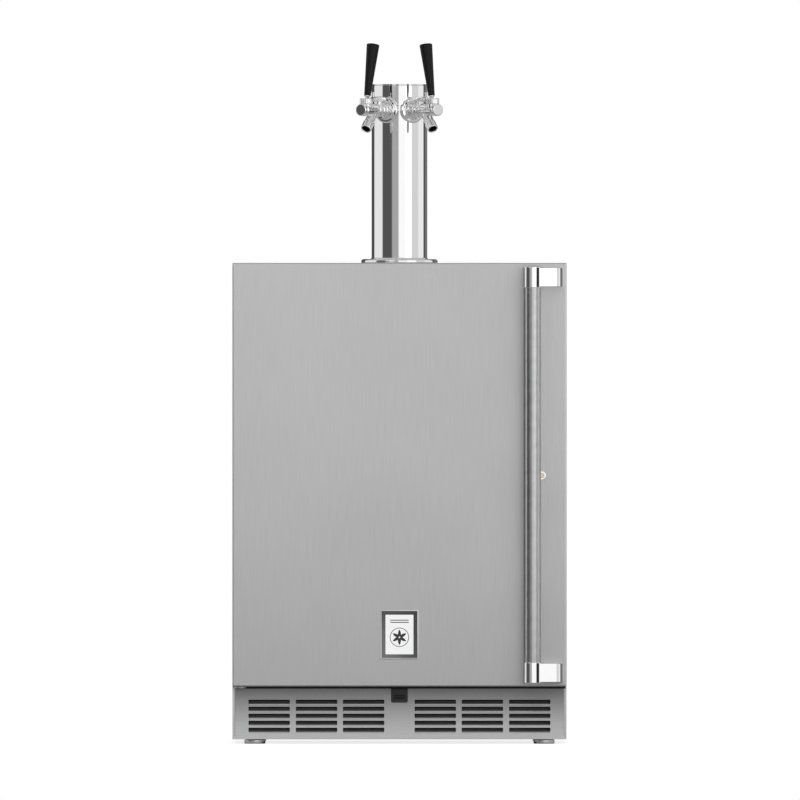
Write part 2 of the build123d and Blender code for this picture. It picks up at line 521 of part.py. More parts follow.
def tap_post(side, radius, low, high, mode=Mode.ADD, place=LEVER_X):
    """Add or cut an upright round bar at one distance from the tower along one tap."""
    plane = tap_plane(side)
    rod(plane.from_local_coords((place, 0, low)), plane.from_local_coords((place, 0, high)), radius, mode)


NUT_IN, NUT_OUT, NUT_RADIUS = 60.0, 73.0, 15.0
with BuildPart() as shanks:
    for side in (-1, 1):
        radial_rod(side, (SHANK_IN, SHANK_OUT), TAP_Z, SHANK_RADIUS)
        radial_rod(side, (39, 46), TAP_Z, 14)
        radial_rod(side, (SHANK_IN - 9, SHANK_OUT + 9), TAP_Z, 4.5, Mode.SUBTRACT)
save(shanks, "shanks")

with BuildPart() as shank_collars:
    for side in (-1, 1):
        radial_rod(side, (45, 56), TAP_Z, 23.4)
    fillet(shank_collars.edges().filter_by(GeomType.CIRCLE).sort_by(Axis.Y)[:2], 3)
    rod((0, TOWER_Y, 1100), (0, TOWER_Y, 1197), COLUMN_RADIUS, Mode.SUBTRACT)
    for side in (-1, 1):
        radial_rod(side, (40, 60), TAP_Z, SHANK_RADIUS, Mode.SUBTRACT)
save(shank_collars, "shank_collars")

with BuildPart() as coupling_nuts:
    for side in (-1, 1):
        radial_rod(side, (NUT_IN, NUT_OUT), TAP_Z, NUT_RADIUS)
    chamfer(coupling_nuts.edges().filter_by(GeomType.CIRCLE), 1)
    for side in (-1, 1):
        radial_rod(side, (NUT_IN - 5, NUT_OUT + 5), TAP_Z, SHANK_RADIUS, Mode.SUBTRACT)
        for turn in range(0, 360, 60):
            hole = Location((NUT_IN + 6.5, 0, TAP_Z), (turn, 0, 0)) * Location((0, 0, NUT_RADIUS))
            with Locations(tap_plane(side) * hole):
                Cylinder(2.2, 5, mode=Mode.SUBTRACT)
save(coupling_nuts, "coupling_nuts")

BARREL_RADIUS, BORE_RADIUS, BARREL_END = 10.5, 7.0, 142.5
SPOUT_TIP = (130.0, 1117.0)
SPOUT_RADIUS, SPOUT_BORE = 9.75, 7.4
VALVE_Z, VALVE_SPAN = 1172.0, (62.0, 97.0)
BONNET_LOW = TAP_Z + BARREL_RADIUS + 0.1
SWING = sin(radians(45))
for side, side_name in ((-1, "left"), (1, "right")):
    spout_root = (SPOUT_TIP[0] - 42 * SWING, SPOUT_TIP[1] + 42 * SWING)
    tip, root = (tap_plane(side).from_local_coords((x, 0, z)) for x, z in (SPOUT_TIP, spout_root))
    past = tap_plane(side).from_local_coords((SPOUT_TIP[0] + 9, 0, SPOUT_TIP[1] - 9))
    with BuildPart() as faucet_body:
        radial_rod(side, (SHANK_OUT, BARREL_END), TAP_Z, BARREL_RADIUS)
        radial_rod(side, (88, 92), TAP_Z, BARREL_RADIUS + 1.5)
        tap_post(side, 11.0, TAP_Z, BONNET_LOW)
        rod(root, tip, SPOUT_RADIUS)
        tap_post(side, 5.5, TAP_Z, VALVE_Z, place=80)
        radial_rod(side, VALVE_SPAN, VALVE_Z, 5)
        radial_rod(side, (SHANK_OUT - 9, BARREL_END + 9), TAP_Z, BORE_RADIUS, Mode.SUBTRACT)
        rod(root, past, SPOUT_BORE, Mode.SUBTRACT)
        tap_post(side, 5.3, TAP_Z, LEVER_Z + 9, Mode.SUBTRACT)
    save(faucet_body, f"faucet_body_{side_name}")

    with BuildPart() as tap_lever:
        lever_frame = tap_plane(side) * Location((LEVER_X, 0, LEVER_Z), (0, -LEVER_LEAN, 0))
        with Locations(lever_frame):
            Sphere(4.9)
            Cylinder(2.2, LEVER_TIP + 21, align=(Align.CENTER, Align.CENTER, Align.MIN))
            with Locations((0, 0, -LEVER_TIP)):
                Cylinder(1.9, LEVER_TIP, align=(Align.CENTER, Align.CENTER, Align.MIN))
    save(tap_lever, f"tap_lever_{side_name}")

    HANDLE_LOW, HANDLE_LONG = 18.0, 96.5
    handle_plane = Plane(tap_plane(side) * Location((LEVER_X, 0, LEVER_Z), (0, -LEVER_LEAN, 0)))
    with BuildPart() as tap_handle:
        with BuildSketch(handle_plane.offset(HANDLE_LOW)):
            Circle(6.0)
        with BuildSketch(handle_plane.offset(HANDLE_LOW + HANDLE_LONG)):
            Circle(11.6)
        loft()
        top_edge = tap_handle.edges().sort_by(Axis.Z)[-1]
        fillet(top_edge, 1.6)
        with Locations(lever_frame * Location((0, 0, HANDLE_LOW - 9))):
            Cylinder(2.2, 9 + LEVER_TIP + 21 - HANDLE_LOW,
                     align=(Align.CENTER, Align.CENTER, Align.MIN), mode=Mode.SUBTRACT)
    save(tap_handle, f"tap_handle_{side_name}")

    PLUNGER_END = 127.3
    with BuildPart() as valve_plunger:
        radial_rod(side, (86, PLUNGER_END), TAP_Z, 3.0)
        radial_rod(side, (84, 88), TAP_Z, 6.6)
    save(valve_plunger, f"valve_plunger_{side_name}")

    with BuildPart() as flow_lever:
        radial_rod(side, (VALVE_SPAN[1] + 0.3, 106), VALVE_Z, 4.6)
        tap_post(side, 2.25, VALVE_Z, VALVE_Z + 13, place=102)
    save(flow_lever, f"flow_lever_{side_name}")

with BuildPart() as faucet_caps:
    for side in (-1, 1):
        tap_post(side, 12.0, BONNET_LOW, LEVER_Z + 13.4)
        radial_rod(side, (BARREL_END, BARREL_END + 8), TAP_Z, 11)
    chamfer(faucet_caps.edges().filter_by(GeomType.CIRCLE), 0.8)
    for side in (-1, 1):
        mouth = tap_plane(side) * Location((LEVER_X, 0, LEVER_Z + 7.9))
        with Locations(mouth):
            Cone(5.3, 9.4, 11.1, mode=Mode.SUBTRACT)
save(faucet_caps, "faucet_caps")
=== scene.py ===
"""Two-tap outdoor beer dispenser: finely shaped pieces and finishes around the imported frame.

Everything is in metres in the frame's own axes: +Z up, the door towards -Y, the handle towards +X.
"""

import logging
from dataclasses import dataclass, field
from enum import Enum

import bmesh
import bpy
import numpy as np
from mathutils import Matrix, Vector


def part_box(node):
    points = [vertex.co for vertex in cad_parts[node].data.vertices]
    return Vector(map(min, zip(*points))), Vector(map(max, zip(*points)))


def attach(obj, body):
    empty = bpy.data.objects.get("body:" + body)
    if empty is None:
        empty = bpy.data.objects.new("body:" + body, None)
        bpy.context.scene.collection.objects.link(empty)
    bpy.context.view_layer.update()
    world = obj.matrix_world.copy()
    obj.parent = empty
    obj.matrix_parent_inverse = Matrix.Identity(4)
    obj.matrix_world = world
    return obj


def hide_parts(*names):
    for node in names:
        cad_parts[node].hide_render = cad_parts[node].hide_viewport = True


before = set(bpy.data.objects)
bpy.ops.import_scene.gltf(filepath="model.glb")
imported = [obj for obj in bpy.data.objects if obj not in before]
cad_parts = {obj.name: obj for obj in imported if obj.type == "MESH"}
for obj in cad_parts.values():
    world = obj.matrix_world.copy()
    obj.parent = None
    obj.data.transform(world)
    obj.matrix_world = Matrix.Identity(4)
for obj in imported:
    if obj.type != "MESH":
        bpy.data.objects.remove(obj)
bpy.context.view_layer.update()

Array = np.ndarray
Piece = bpy.types.Object
Material = bpy.types.Material
log = logging.getLogger("dispenser")
MM = 0.001
RIGHT, BACK, UP = np.eye(3)


# --- Surfaces ---------------------------------------------------------------------------------
@dataclass(frozen=True)
class Axes:
    """A local frame: an origin and three unit directions."""

    origin: Array
    x: Array
    y: Array
    z: Array

    def place(self, points: Array) -> Array:
        """Return local points in the shared frame: origin + a x + b y + c z."""
        return self.origin + points[..., :1] * self.x + points[..., 1:2] * self.y + points[..., 2:] * self.z

    def moved(self, x: float = 0.0, y: float = 0.0, z: float = 0.0) -> "Axes":
        """Return the same directions at another local point."""
        return Axes(self.place(np.array([x, y, z])), self.x, self.y, self.z)


def aimed(origin: Array, direction: Array, side: Array = UP) -> Axes:
    """Return a frame whose z runs along a direction.

    Args:
        origin: the frame's origin.
        direction: where its z points.
        side: a direction its x should lie towards.

    Returns:
        The frame, with x and y square to z.
    """
    z = np.asarray(direction, float) / np.linalg.norm(direction)
    if abs(float(np.dot(z, side))) > 0.99:
        side = RIGHT
    x = side - np.dot(side, z) * z
    x = x / np.linalg.norm(x)
    return Axes(np.asarray(origin, float), x, np.cross(z, x), z)


def upright(x: float, y: float, z: float = 0.0) -> Axes:
    """Return a frame in the shared directions at one point."""
    return Axes(np.array([x, y, z]), RIGHT, BACK, UP)


def facing(x: float, y: float, z: float) -> Axes:
    """Return a frame that faces the user: x to the right, y up, z out of the door."""
    return Axes(np.array([x, y, z]), RIGHT, UP, -BACK)


def soften(corners: list, radius: float | list, closed: bool = False, steps: int = 4) -> Array:
    """Round the corners of a polyline.

    Each corner p becomes the curve (1-t)^2 a + 2t(1-t) p + t^2 b, where a and b lie on its two
    edges at the corner's radius, or at 45% of the edge where that is shorter.

    Args:
        corners: the polyline's points.
        radius: one size for all corners, or one for each.
        closed: whether the last point joins the first.
        steps: pieces in each rounded corner.

    Returns:
        The rounded polyline.
    """
    p = np.asarray(corners, float)
    size = np.broadcast_to(np.asarray(radius, float), len(p))[:, None]
    before, after = np.roll(p, 1, axis=0) - p, np.roll(p, -1, axis=0) - p
    reach_before = np.linalg.norm(before, axis=1, keepdims=True)
    reach_after = np.linalg.norm(after, axis=1, keepdims=True)
    a = p + before * np.minimum(size / np.maximum(reach_before, 1e-9), 0.45)
    b = p + after * np.minimum(size / np.maximum(reach_after, 1e-9), 0.45)
    t = np.linspace(0, 1, steps + 1)[None, :, None]
    curve = (1 - t) ** 2 * a[:, None] + 2 * t * (1 - t) * p[:, None] + t ** 2 * b[:, None]
    if closed:
        return curve.reshape(-1, p.shape[1])
    return np.vstack([p[:1], curve[1:-1].reshape(-1, p.shape[1]), p[-1:]])


def looped(corners: list, radius: float, steps: int = 4) -> Array:
    """Round a closed section's corners and repeat its first point at the end, ready for turning."""
    section = soften(corners, radius, closed=True, steps=steps)
    return np.vstack([section, section[:1]])


def shifted_in(outline: Array, inset: float) -> Array:
    """Move a closed outline inwards: each point goes along the mean of its edges' inner normals."""
    ahead = np.roll(outline, -1, axis=0) - outline
    ahead = ahead / np.maximum(np.linalg.norm(ahead, axis=1, keepdims=True), 1e-12)
    both = ahead + np.roll(ahead, 1, axis=0)
    normal = np.stack([-both[:, 1], both[:, 0]], axis=1)
    length = np.maximum(np.linalg.norm(normal, axis=1, keepdims=True), 1e-9)
    miter = np.minimum(2.0 / length, 1.6)
    x, y = outline.T
    turn_way = np.sign(np.sum(x * np.roll(y, -1) - np.roll(x, -1) * y))
    return outline + turn_way * inset * normal / length * miter


class Shape:
    """Collects surface grids and makes them into one piece's mesh."""

    def __init__(self) -> None:
        """Start with no surface."""
        self.points: list[Array] = []
        self.faces: list[list[int]] = []
        self.count = 0

    def grid(self, points: Array, caps: bool = False, loop: bool = False) -> "Shape":
        """Add a grid of points as quads, each row closed on itself.

        Args:
            points: rows by columns by 3.
            caps: whether the first and last rows are closed with one face each.
            loop: whether the last row joins the first.

        Returns:
            The shape itself.
        """
        rows, columns = points.shape[:2]
        number = self.count + np.arange(rows * columns).reshape(rows, columns)
        if loop:
            number = np.vstack([number, number[:1]])
        number = np.hstack([number, number[:, :1]])
        quads = np.stack([number[:-1, :-1], number[:-1, 1:], number[1:, 1:], number[1:, :-1]], axis=-1)
        self.faces += quads.reshape(-1, 4).tolist()
        if caps:
            last = self.count + (rows - 1) * columns
            self.faces.append(list(range(self.count + columns - 1, self.count - 1, -1)))
            self.faces.append(list(range(last, last + columns)))
        self.points.append(points.reshape(-1, 3))
        self.count += rows * columns
        return self

    def turn(self, axes: Axes, profile: Array, segments: int = 64, ripple: tuple = (0, 0.0)) -> "Shape":
        """Add a turned surface: (r, h) goes to (r cos a, r sin a, h) in the frame's axes.

        Args:
            axes: z is the axis of turning.
            profile: (radius, height) pairs; a closed loop, or one that starts and ends on the axis.
            segments: columns round the axis.
            ripple: (waves, depth), grooves cut as depth (1 + cos(waves a)) / 2 into the outer rows.

        Returns:
            The shape itself.
        """
        profile = np.asarray(profile, float)
        angle = np.linspace(0, 2 * np.pi, segments, endpoint=False)
        outer = profile[:, :1] > 0.93 * profile[:, 0].max()
        radius = profile[:, :1] - outer * ripple[1] * (1 + np.cos(ripple[0] * angle))[None, :] / 2
        height = np.broadcast_to(profile[:, 1:], radius.shape)
        local = np.stack([radius * np.cos(angle), radius * np.sin(angle), height], axis=-1)
        return self.grid(axes.place(local))

    def ring(self, axes: Axes, inner: float, outer: float, low: float, high: float, bevel: float,
             segments: int = 64, ripple: tuple = (0, 0.0)) -> "Shape":
        """Add a turned ring of rectangular section with softened corners."""
        corners = [(inner, low), (outer, low), (outer, high), (inner, high)]
        return self.turn(axes, looped(corners, bevel), segments, ripple)

    def disc(self, axes: Axes, radius: float, low: float, high: float, bevel: float,
             segments: int = 64, ripple: tuple = (0, 0.0)) -> "Shape":
        """Add a turned solid bar with softened ends."""
        corners = [(0, low), (radius, low), (radius, high), (0, high)]
        return self.turn(axes, soften(corners, bevel), segments, ripple)

    def slab(self, axes: Axes, outline: Array, low: float, high: float,
             bevel: float | tuple[float, float] = 0.0, steps: int = 4) -> "Shape":
        """Add an outline carried along z, its low and high rims rounded over.

        A rim row at angle t is inset by bevel (1 - sin t) and lies bevel (1 - cos t) from the end.
        """
        low_bevel, high_bevel = np.broadcast_to(bevel, 2)
        quarter = np.linspace(0, np.pi / 2, steps + 1)
        inset, depth = 1 - np.sin(quarter), 1 - np.cos(quarter)
        insets = np.concatenate([low_bevel * inset, high_bevel * inset[::-1]])
        heights = np.concatenate([low + low_bevel * depth, high - high_bevel * depth[::-1]])
        rows = [np.column_stack([shifted_in(outline, i), np.full(len(outline), h)])
                for i, h in zip(insets, heights)]
        return self.grid(axes.place(np.array(rows)), caps=True)

    def hoop(self, axes: Axes, outline: Array, section: Array, closed: bool = True) -> "Shape":
        """Add a frame or shell: each (inset, height) is the outline moved in and lifted.

        Args:
            axes: where the outline lies.
            outline: the closed outline.
            section: rows of (inset, height).
            closed: join the last row to the first, or else fill both end rows.
        """
        rows = [np.column_stack([shifted_in(outline, i), np.full(len(outline), h)]) for i, h in section]
        return self.grid(axes.place(np.array(rows)), caps=not closed, loop=closed)

    def object(self, name: str, sharp: float = 40.0) -> Piece:
        """Make the mesh and its object, with poles and seam lines merged and faces pointing out.

        Args:
            name: the piece's name.
            sharp: edges that turn more than this many degrees stay crisp.

        Returns:
            The new object, linked to the scene.
        """
        mesh = bpy.data.meshes.new(name)
        mesh.from_pydata(np.vstack(self.points).tolist(), [], self.faces)
        work = bmesh.new()
        work.from_mesh(mesh)
        bmesh.ops.remove_doubles(work, verts=work.verts, dist=2e-7)
        bmesh.ops.dissolve_degenerate(work, edges=work.edges, dist=1e-7)
        bmesh.ops.recalc_face_normals(work, faces=work.faces)
        work.to_mesh(mesh)
        work.free()
        mesh.shade_smooth()
        mesh.set_sharp_from_angle(angle=np.radians(sharp))
        piece = bpy.data.objects.new(name, mesh)
        bpy.context.scene.collection.objects.link(piece)
        flatten(piece)
        return piece


def mitred(width: float, height: float) -> Array:
    """Return a centred rectangle's outline with four plain corners."""
    return np.array([(-1, -1), (1, -1), (1, 1), (-1, 1)]) * (width / 2, height / 2)


def rectangle(width: float, height: float, radius: float, steps: int = 5) -> Array:
    """Return a centred rectangle's outline with rounded corners."""
    return soften(mitred(width, height), radius, closed=True, steps=steps)


def round_outline(radius: float, points: int) -> Array:
    """Return a centred circle's outline: radius (cos a, sin a)."""
    a = np.linspace(0, 2 * np.pi, points, endpoint=False)
    return np.column_stack([radius * np.cos(a), radius * np.sin(a)])


def bake(piece: Piece, kind: str, **settings: object) -> None:
    """Apply one modifier to a piece's mesh and drop the modifier."""
    modifier = piece.modifiers.new("step", kind)
    for name, value in settings.items():
        setattr(modifier, name, value)
    graph = bpy.context.evaluated_depsgraph_get()
    piece.data = bpy.data.meshes.new_from_object(piece.evaluated_get(graph))
    piece.modifiers.clear()


def flatten(piece: Piece) -> None:
    """Weight a piece's normals by face area, so flat faces shade flat up to their rounded rims."""
    bake(piece, "WEIGHTED_NORMAL", mode="FACE_AREA", keep_sharp=True, weight=50)


def carve(piece: Piece, cutters: list[Shape]) -> None:
    """Cut shapes out of a piece with a boolean, then drop the cutting shapes."""
    for shape in cutters:
        cutter = shape.object("cutter")
        bake(piece, "BOOLEAN", object=cutter, operation="DIFFERENCE", solver="MANIFOLD")
        bpy.data.objects.remove(cutter)
    piece.data.set_sharp_from_angle(angle=np.radians(40))
    flatten(piece)


# --- Shader nodes -----------------------------------------------------------------------------
Colour = tuple[float, float, float]
Socket = bpy.types.NodeSocket
Outputs = bpy.types.bpy_prop_collection


class Graph:
    """A shader node tree and the ways of adding to it."""

    def __init__(self, tree: bpy.types.NodeTree) -> None:
        """Keep the tree."""
        self.tree = tree

    def join(self, value: object, socket: Socket) -> None:
        """Feed an input with another node's socket, a number or a colour."""
        if isinstance(value, bpy.types.NodeSocket):
            self.tree.links.new(value, socket)
        else:
            socket.default_value = (*value, 1.0) if isinstance(value, tuple) else value

    def add(self, kind: str, inputs: dict | None = None, **settings: object) -> Outputs:
        """Add a shader node.

        Args:
            kind: the node's type, without its common first part.
            inputs: what feeds each input, by the input's name or number.
            settings: the node's own settings.

        Returns:
            The node's outputs.
        """
        node = self.tree.nodes.new(f"ShaderNode{kind}")
        for label, value in settings.items():
            setattr(node, label, value)
        for label, value in (inputs or {}).items():
            self.join(value, node.inputs[label])
        return node.outputs

    def math(self, operation: str, *values: object) -> Socket:
        """Add a Math node fed by sockets or numbers and return its result."""
        return self.add("Math", dict(enumerate(values)), operation=operation)[0]

    def noise(self, scale: object, detail: float, vector: Socket) -> Socket:
        """Add a Noise texture and return its value."""
        return self.add("TexNoise", {"Scale": scale, "Detail": detail, "Vector": vector})[0]

    def blend(self, mask: Socket, low: object, high: object) -> Socket:
        """Mix two colours, each a tuple or a socket, by a mask and return the result."""
        return self.add("Mix", {"Factor": mask, 6: low, 7: high}, data_type="RGBA")[2]


class Effect(Graph):
    """A shader node group with number inputs and outputs, built once and shared."""

    def __init__(self, name: str, inputs: dict[str, float], outputs: list[str]) -> None:
        """Make the group and its sockets.

        Args:
            name: the effect's name.
            inputs: the inputs and their defaults.
            outputs: the outputs.
        """
        super().__init__(bpy.data.node_groups.new(name, "ShaderNodeTree"))
        new_socket = self.tree.interface.new_socket
        for label, default in inputs.items():
            new_socket(label, in_out="INPUT", socket_type="NodeSocketFloat").default_value = default
        for label in outputs:
            new_socket(label, in_out="OUTPUT", socket_type="NodeSocketFloat")
        self.source = self.tree.nodes.new("NodeGroupInput").outputs
        self.sink = self.tree.nodes.new("NodeGroupOutput").inputs
        self.place = self.add("TexCoord")["Object"]


def grain_effect() -> Effect:
    """Brushed grain: noise on Object coordinates pressed along each axis, plus broad wipe marks."""
    effect = Effect("brushed_grain", {"Along X": 1.0, "Along Y": 1.0, "Along Z": 1.0, "Scale": 400.0,
                                      "Wipe Scale": 5.0}, ["Grain", "Wipe"])
    squeeze = effect.add("CombineXYZ", {axis: effect.source[f"Along {axis}"] for axis in "XYZ"})
    pressed = effect.add("VectorMath", {0: effect.place, 1: squeeze[0]}, operation="MULTIPLY")
    effect.join(effect.noise(effect.source["Scale"], 3.0, pressed[0]), effect.sink["Grain"])
    effect.join(effect.noise(effect.source["Wipe Scale"], 4.0, effect.place), effect.sink["Wipe"])
    return effect


def peen_effect() -> Effect:
    """Stippled skin: the distance to scattered cell centres, softened into small domes."""
    effect = Effect("peened_skin", {"Scale": 900.0, "Warp": 0.5}, ["Dome", "Patch"])
    inputs = {"Vector": effect.place, "Scale": effect.source["Scale"], "Randomness": effect.source["Warp"]}
    cells = effect.add("TexVoronoi", inputs, feature="SMOOTH_F1")
    effect.join(effect.math("SUBTRACT", 1.0, cells["Distance"]), effect.sink["Dome"])
    effect.join(effect.noise(60.0, 5.0, effect.place), effect.sink["Patch"])
    return effect


def dust_effect() -> Effect:
    """Settled dust: how far the surface faces up, broken by noise."""
    effect = Effect("settled_dust", {"Amount": 0.3, "Scale": 30.0}, ["Mask"])
    normal = effect.add("SeparateXYZ", {0: effect.add("NewGeometry")["Normal"]})
    up = effect.math("MAXIMUM", normal["Z"], 0.0)
    speck = effect.math("MULTIPLY", up, effect.noise(effect.source["Scale"], 6.0, effect.place))
    effect.join(effect.math("MULTIPLY", speck, effect.source["Amount"]), effect.sink["Mask"])
    return effect


def shade_effect() -> Effect:
    """Soft shade under an overhang: rises from 0 at one height to 1 at a lower one."""
    effect = Effect("overhang_shade", {"Top": 0.1, "Bottom": 0.0}, ["Mask"])
    inputs = {"Value": effect.add("SeparateXYZ", {0: effect.place})["Z"],
              "From Min": effect.source["Top"], "From Max": effect.source["Bottom"]}
    effect.join(effect.add("MapRange", inputs, interpolation_type="SMOOTHSTEP")[0], effect.sink["Mask"])
    return effect


EFFECTS = {"grain": grain_effect(), "peen": peen_effect(), "dust": dust_effect(), "shade": shade_effect()}


# --- Finishes ---------------------------------------------------------------------------------
NOISE_RANGE = {"From Min": 0.25, "From Max": 0.75}


def tinted(colour: Colour, factor: float) -> Colour:
    """Return a colour scaled by a factor and kept within 0 to 1."""
    return tuple(min(1.0, part * factor) for part in colour)


class Paint(Graph):
    """One material being made, with its Principled shader."""

    def __init__(self, name: str) -> None:
        """Start a material with an empty Principled shader."""
        self.material = bpy.data.materials.new(name)
        self.material.use_nodes = True
        super().__init__(self.material.node_tree)
        self.shader = self.tree.nodes["Principled BSDF"].inputs

    def set(self, **values: object) -> None:
        """Feed the shader's own sockets, with underscores for spaces."""
        for label, value in values.items():
            self.join(value, self.shader[label.replace("_", " ")])

    def effect(self, name: str, **values: float) -> Outputs:
        """Place a shared effect with its own values, with underscores for spaces."""
        inputs = {label.replace("_", " "): value for label, value in values.items()}
        return self.add("Group", inputs, node_tree=EFFECTS[name].tree)

    def spread(self, value: Socket, low: float, high: float) -> Socket:
        """Map a noise value to a range."""
        return self.add("MapRange", {"Value": value, **NOISE_RANGE, "To Min": low, "To Max": high})[0]

    def mottled(self, value: Socket, colour: Colour, dark: float, light: float) -> Socket:
        """Vary a colour between a darker and a lighter factor by a noise value."""
        return self.blend(self.spread(value, 0.0, 1.0), tinted(colour, dark), tinted(colour, light))

    def finish(self, tone: Socket, wear: Socket, rough: tuple, height: Socket, depth: float) -> Material:
        """Feed the last sockets and return the material.

        Args:
            tone: the base colour.
            wear: the noise value that spreads the roughness.
            rough: the least and most roughness.
            height: the bump's height.
            depth: the bump's real depth in metres.
        """
        bump = self.add("Bump", {"Distance": depth, "Height": height})
        self.set(Base_Color=tone, Roughness=self.spread(wear, *rough), Normal=bump[0])
        return self.material


class Lay(Enum):
    """The direction that sheet metal was brushed in, as presses along X, Y and Z."""

    UP_AND_DOWN = (1.0, 1.0, 0.03)
    ACROSS = (0.03, 1.0, 1.0)
    FRONT_TO_BACK = (1.0, 0.03, 1.0)
    ROUND = (0.6, 0.6, 1.0)


@dataclass(frozen=True)
class Metal:
    """A bare metal finish: brushed grain, wipe marks, settled dust and shade under an overhang.

    The shade is for a plate that hangs below height `shade`, and fades out downwards.
    """

    colour: Colour
    rough: tuple[float, float]
    lay: Lay = Lay.UP_AND_DOWN
    grain: float = 500.0
    depth: float = 0.00001
    spread: float = 0.04
    dust: float = 0.0
    shade: float = 0.0
    shade_tint: float = 0.27
    shade_above: float = 0.02
    shade_below: float = 0.1
    dust_colour: Colour = (0.5, 0.48, 0.45)

    def make(self, name: str) -> Material:
        """Return the finished material."""
        paint = Paint(name)
        paint.set(Metallic=1.0)
        x, y, z = self.lay.value
        grain = paint.effect("grain", Along_X=x, Along_Y=y, Along_Z=z, Scale=self.grain)
        tone = paint.mottled(grain["Grain"], self.colour, 1 - self.spread, 1 + self.spread)
        if self.dust:
            tone = paint.blend(paint.effect("dust", Amount=self.dust)["Mask"], tone, self.dust_colour)
        if self.shade:
            top, bottom = self.shade + self.shade_above, self.shade - self.shade_below
            shade = paint.effect("shade", Top=top, Bottom=bottom)
            tone = paint.blend(shade["Mask"], tinted(self.colour, self.shade_tint), tone)
        return paint.finish(tone, grain["Wipe"], self.rough, grain["Grain"], self.depth)


@dataclass(frozen=True)
class Peened:
    """Metal with a fine stippled skin that scatters its reflections."""

    colour: Colour
    rough: tuple[float, float]
    scale: float
    depth: float
    warp: float = 0.9

    def make(self, name: str) -> Material:
        """Return the finished material."""
        paint = Paint(name)
        paint.set(Metallic=1.0)
        skin = paint.effect("peen", Scale=self.scale, Warp=self.warp)
        tone = paint.mottled(skin["Patch"], self.colour, 0.9, 1.06)
        return paint.finish(tone, skin["Patch"], self.rough, skin["Dome"], self.depth)


@dataclass(frozen=True)
class Moulded:
    """Plastic, rubber, foam or enamel: a soft skin texture, slight mottling and settled dust."""

    colour: Colour
    rough: tuple[float, float]
    texture: float = 900.0
    depth: float = 0.00003
    coat: float = 0.0
    dust: float = 0.12
    through: float = 0.0
    shine: float = 0.5
    dust_colour: Colour = (0.55, 0.53, 0.5)

    def make(self, name: str) -> Material:
        """Return the finished material."""
        paint = Paint(name)
        paint.set(Metallic=0.0, Coat_Weight=self.coat, Coat_Roughness=0.12, Specular_IOR_Level=self.shine)
        if self.through:
            paint.set(Subsurface_Weight=self.through, Subsurface_Scale=0.004)
        skin = paint.effect("peen", Scale=self.texture, Warp=1.0)
        tone = paint.mottled(skin["Patch"], self.colour, 0.95, 1.03)
        tone = paint.blend(paint.effect("dust", Amount=self.dust)["Mask"], tone, self.dust_colour)
        return paint.finish(tone, skin["Patch"], self.rough, skin["Dome"], self.depth)


STEEL = (0.78, 0.78, 0.785)
FINISHES = {
    "door_satin": Metal((0.65, 0.65, 0.655), (0.34, 0.40)),
    "side_satin": Metal(STEEL, (0.33, 0.42), Lay.UP_AND_DOWN, dust=0.1),
    "top_satin": Metal(STEEL, (0.30, 0.40), Lay.ACROSS, dust=0.15),
    "kick_satin": Metal((0.86, 0.86, 0.865), (0.34, 0.42), Lay.ACROSS, shade=0.1),
    "lip_satin": Metal((0.86, 0.86, 0.865), (0.2, 0.26), Lay.ACROSS),
    "mirror_steel": Metal((0.93, 0.93, 0.935), (0.025, 0.06), Lay.ROUND, 90.0, 0.000002, 0.01),
    "turned_steel": Metal((0.88, 0.88, 0.885), (0.05, 0.1), Lay.ROUND, 160.0, 0.000003, 0.02),
    # Painted shade: dark steel for the badge frame's inner slope.
    "painted_shade_bevel_steel": Metal((0.17, 0.17, 0.175), (0.2, 0.3), Lay.ACROSS),
    "inner_steel": Metal((0.66, 0.66, 0.67), (0.28, 0.4), Lay.FRONT_TO_BACK, dust=0.1),
    "handle_stipple": Peened((0.52, 0.52, 0.525), (0.2, 0.26), 620.0, 0.00005),
    "zinc": Peened((0.60, 0.61, 0.63), (0.38, 0.55), 90.0, 0.00002),
    "copper": Metal((0.86, 0.48, 0.32), (0.22, 0.4), Lay.ROUND, 200.0, 0.00001, 0.08),
    "brass": Metal((0.83, 0.68, 0.38), (0.15, 0.28), Lay.ROUND, 300.0, 0.00001, 0.05),
    "fin_aluminium": Metal((0.82, 0.83, 0.85), (0.3, 0.45), Lay.UP_AND_DOWN, 300.0, 0.00001),
    "foam": Moulded((0.80, 0.72, 0.50), (0.8, 0.95), 260.0, 0.0006),
    "liner": Moulded((0.78, 0.79, 0.79), (0.32, 0.42), 420.0, 0.00005),
    "door_liner": Moulded((0.76, 0.77, 0.77), (0.34, 0.44), 420.0, 0.00006),
    "handle_black": Moulded((0.006, 0.006, 0.0065), (0.34, 0.44), 700.0, 0.00002, 0.0, 0.01, 0.0, 0.22),
    "black_plastic": Moulded((0.03, 0.03, 0.032), (0.4, 0.52), 600.0, 0.00006),
    "vane_grey": Moulded((0.07, 0.07, 0.072), (0.4, 0.5), 160.0, 0.00004),
    "enamel": Moulded((0.02, 0.02, 0.021), (0.25, 0.35), 160.0, 0.00005, 0.4),
    "seal": Moulded((0.045, 0.045, 0.048), (0.5, 0.65), 500.0, 0.00004),
    "diffuser": Moulded((0.86, 0.87, 0.86), (0.4, 0.5), 350.0, 0.00003, 0.1, 0.05, 0.3),
    "beer_line": Moulded((0.74, 0.77, 0.78), (0.15, 0.25), 300.0, 0.00001, 0.3, 0.05, 0.3),
    # Painted shade: near-black for linings in openings and for the strips where the handle's arms meet the
    # ferrules.
    "painted_shade_black": Moulded((0.008, 0.008, 0.008), (0.5, 0.6), 400.0, 0.00002, 0.0, 0.0),
}
MATERIALS = {name: finish.make(name) for name, finish in FINISHES.items()}


def dress(piece: Piece, finish: str) -> None:
    """Give a whole piece one finish."""
    piece.data.materials.clear()
    piece.data.materials.append(MATERIALS[finish])


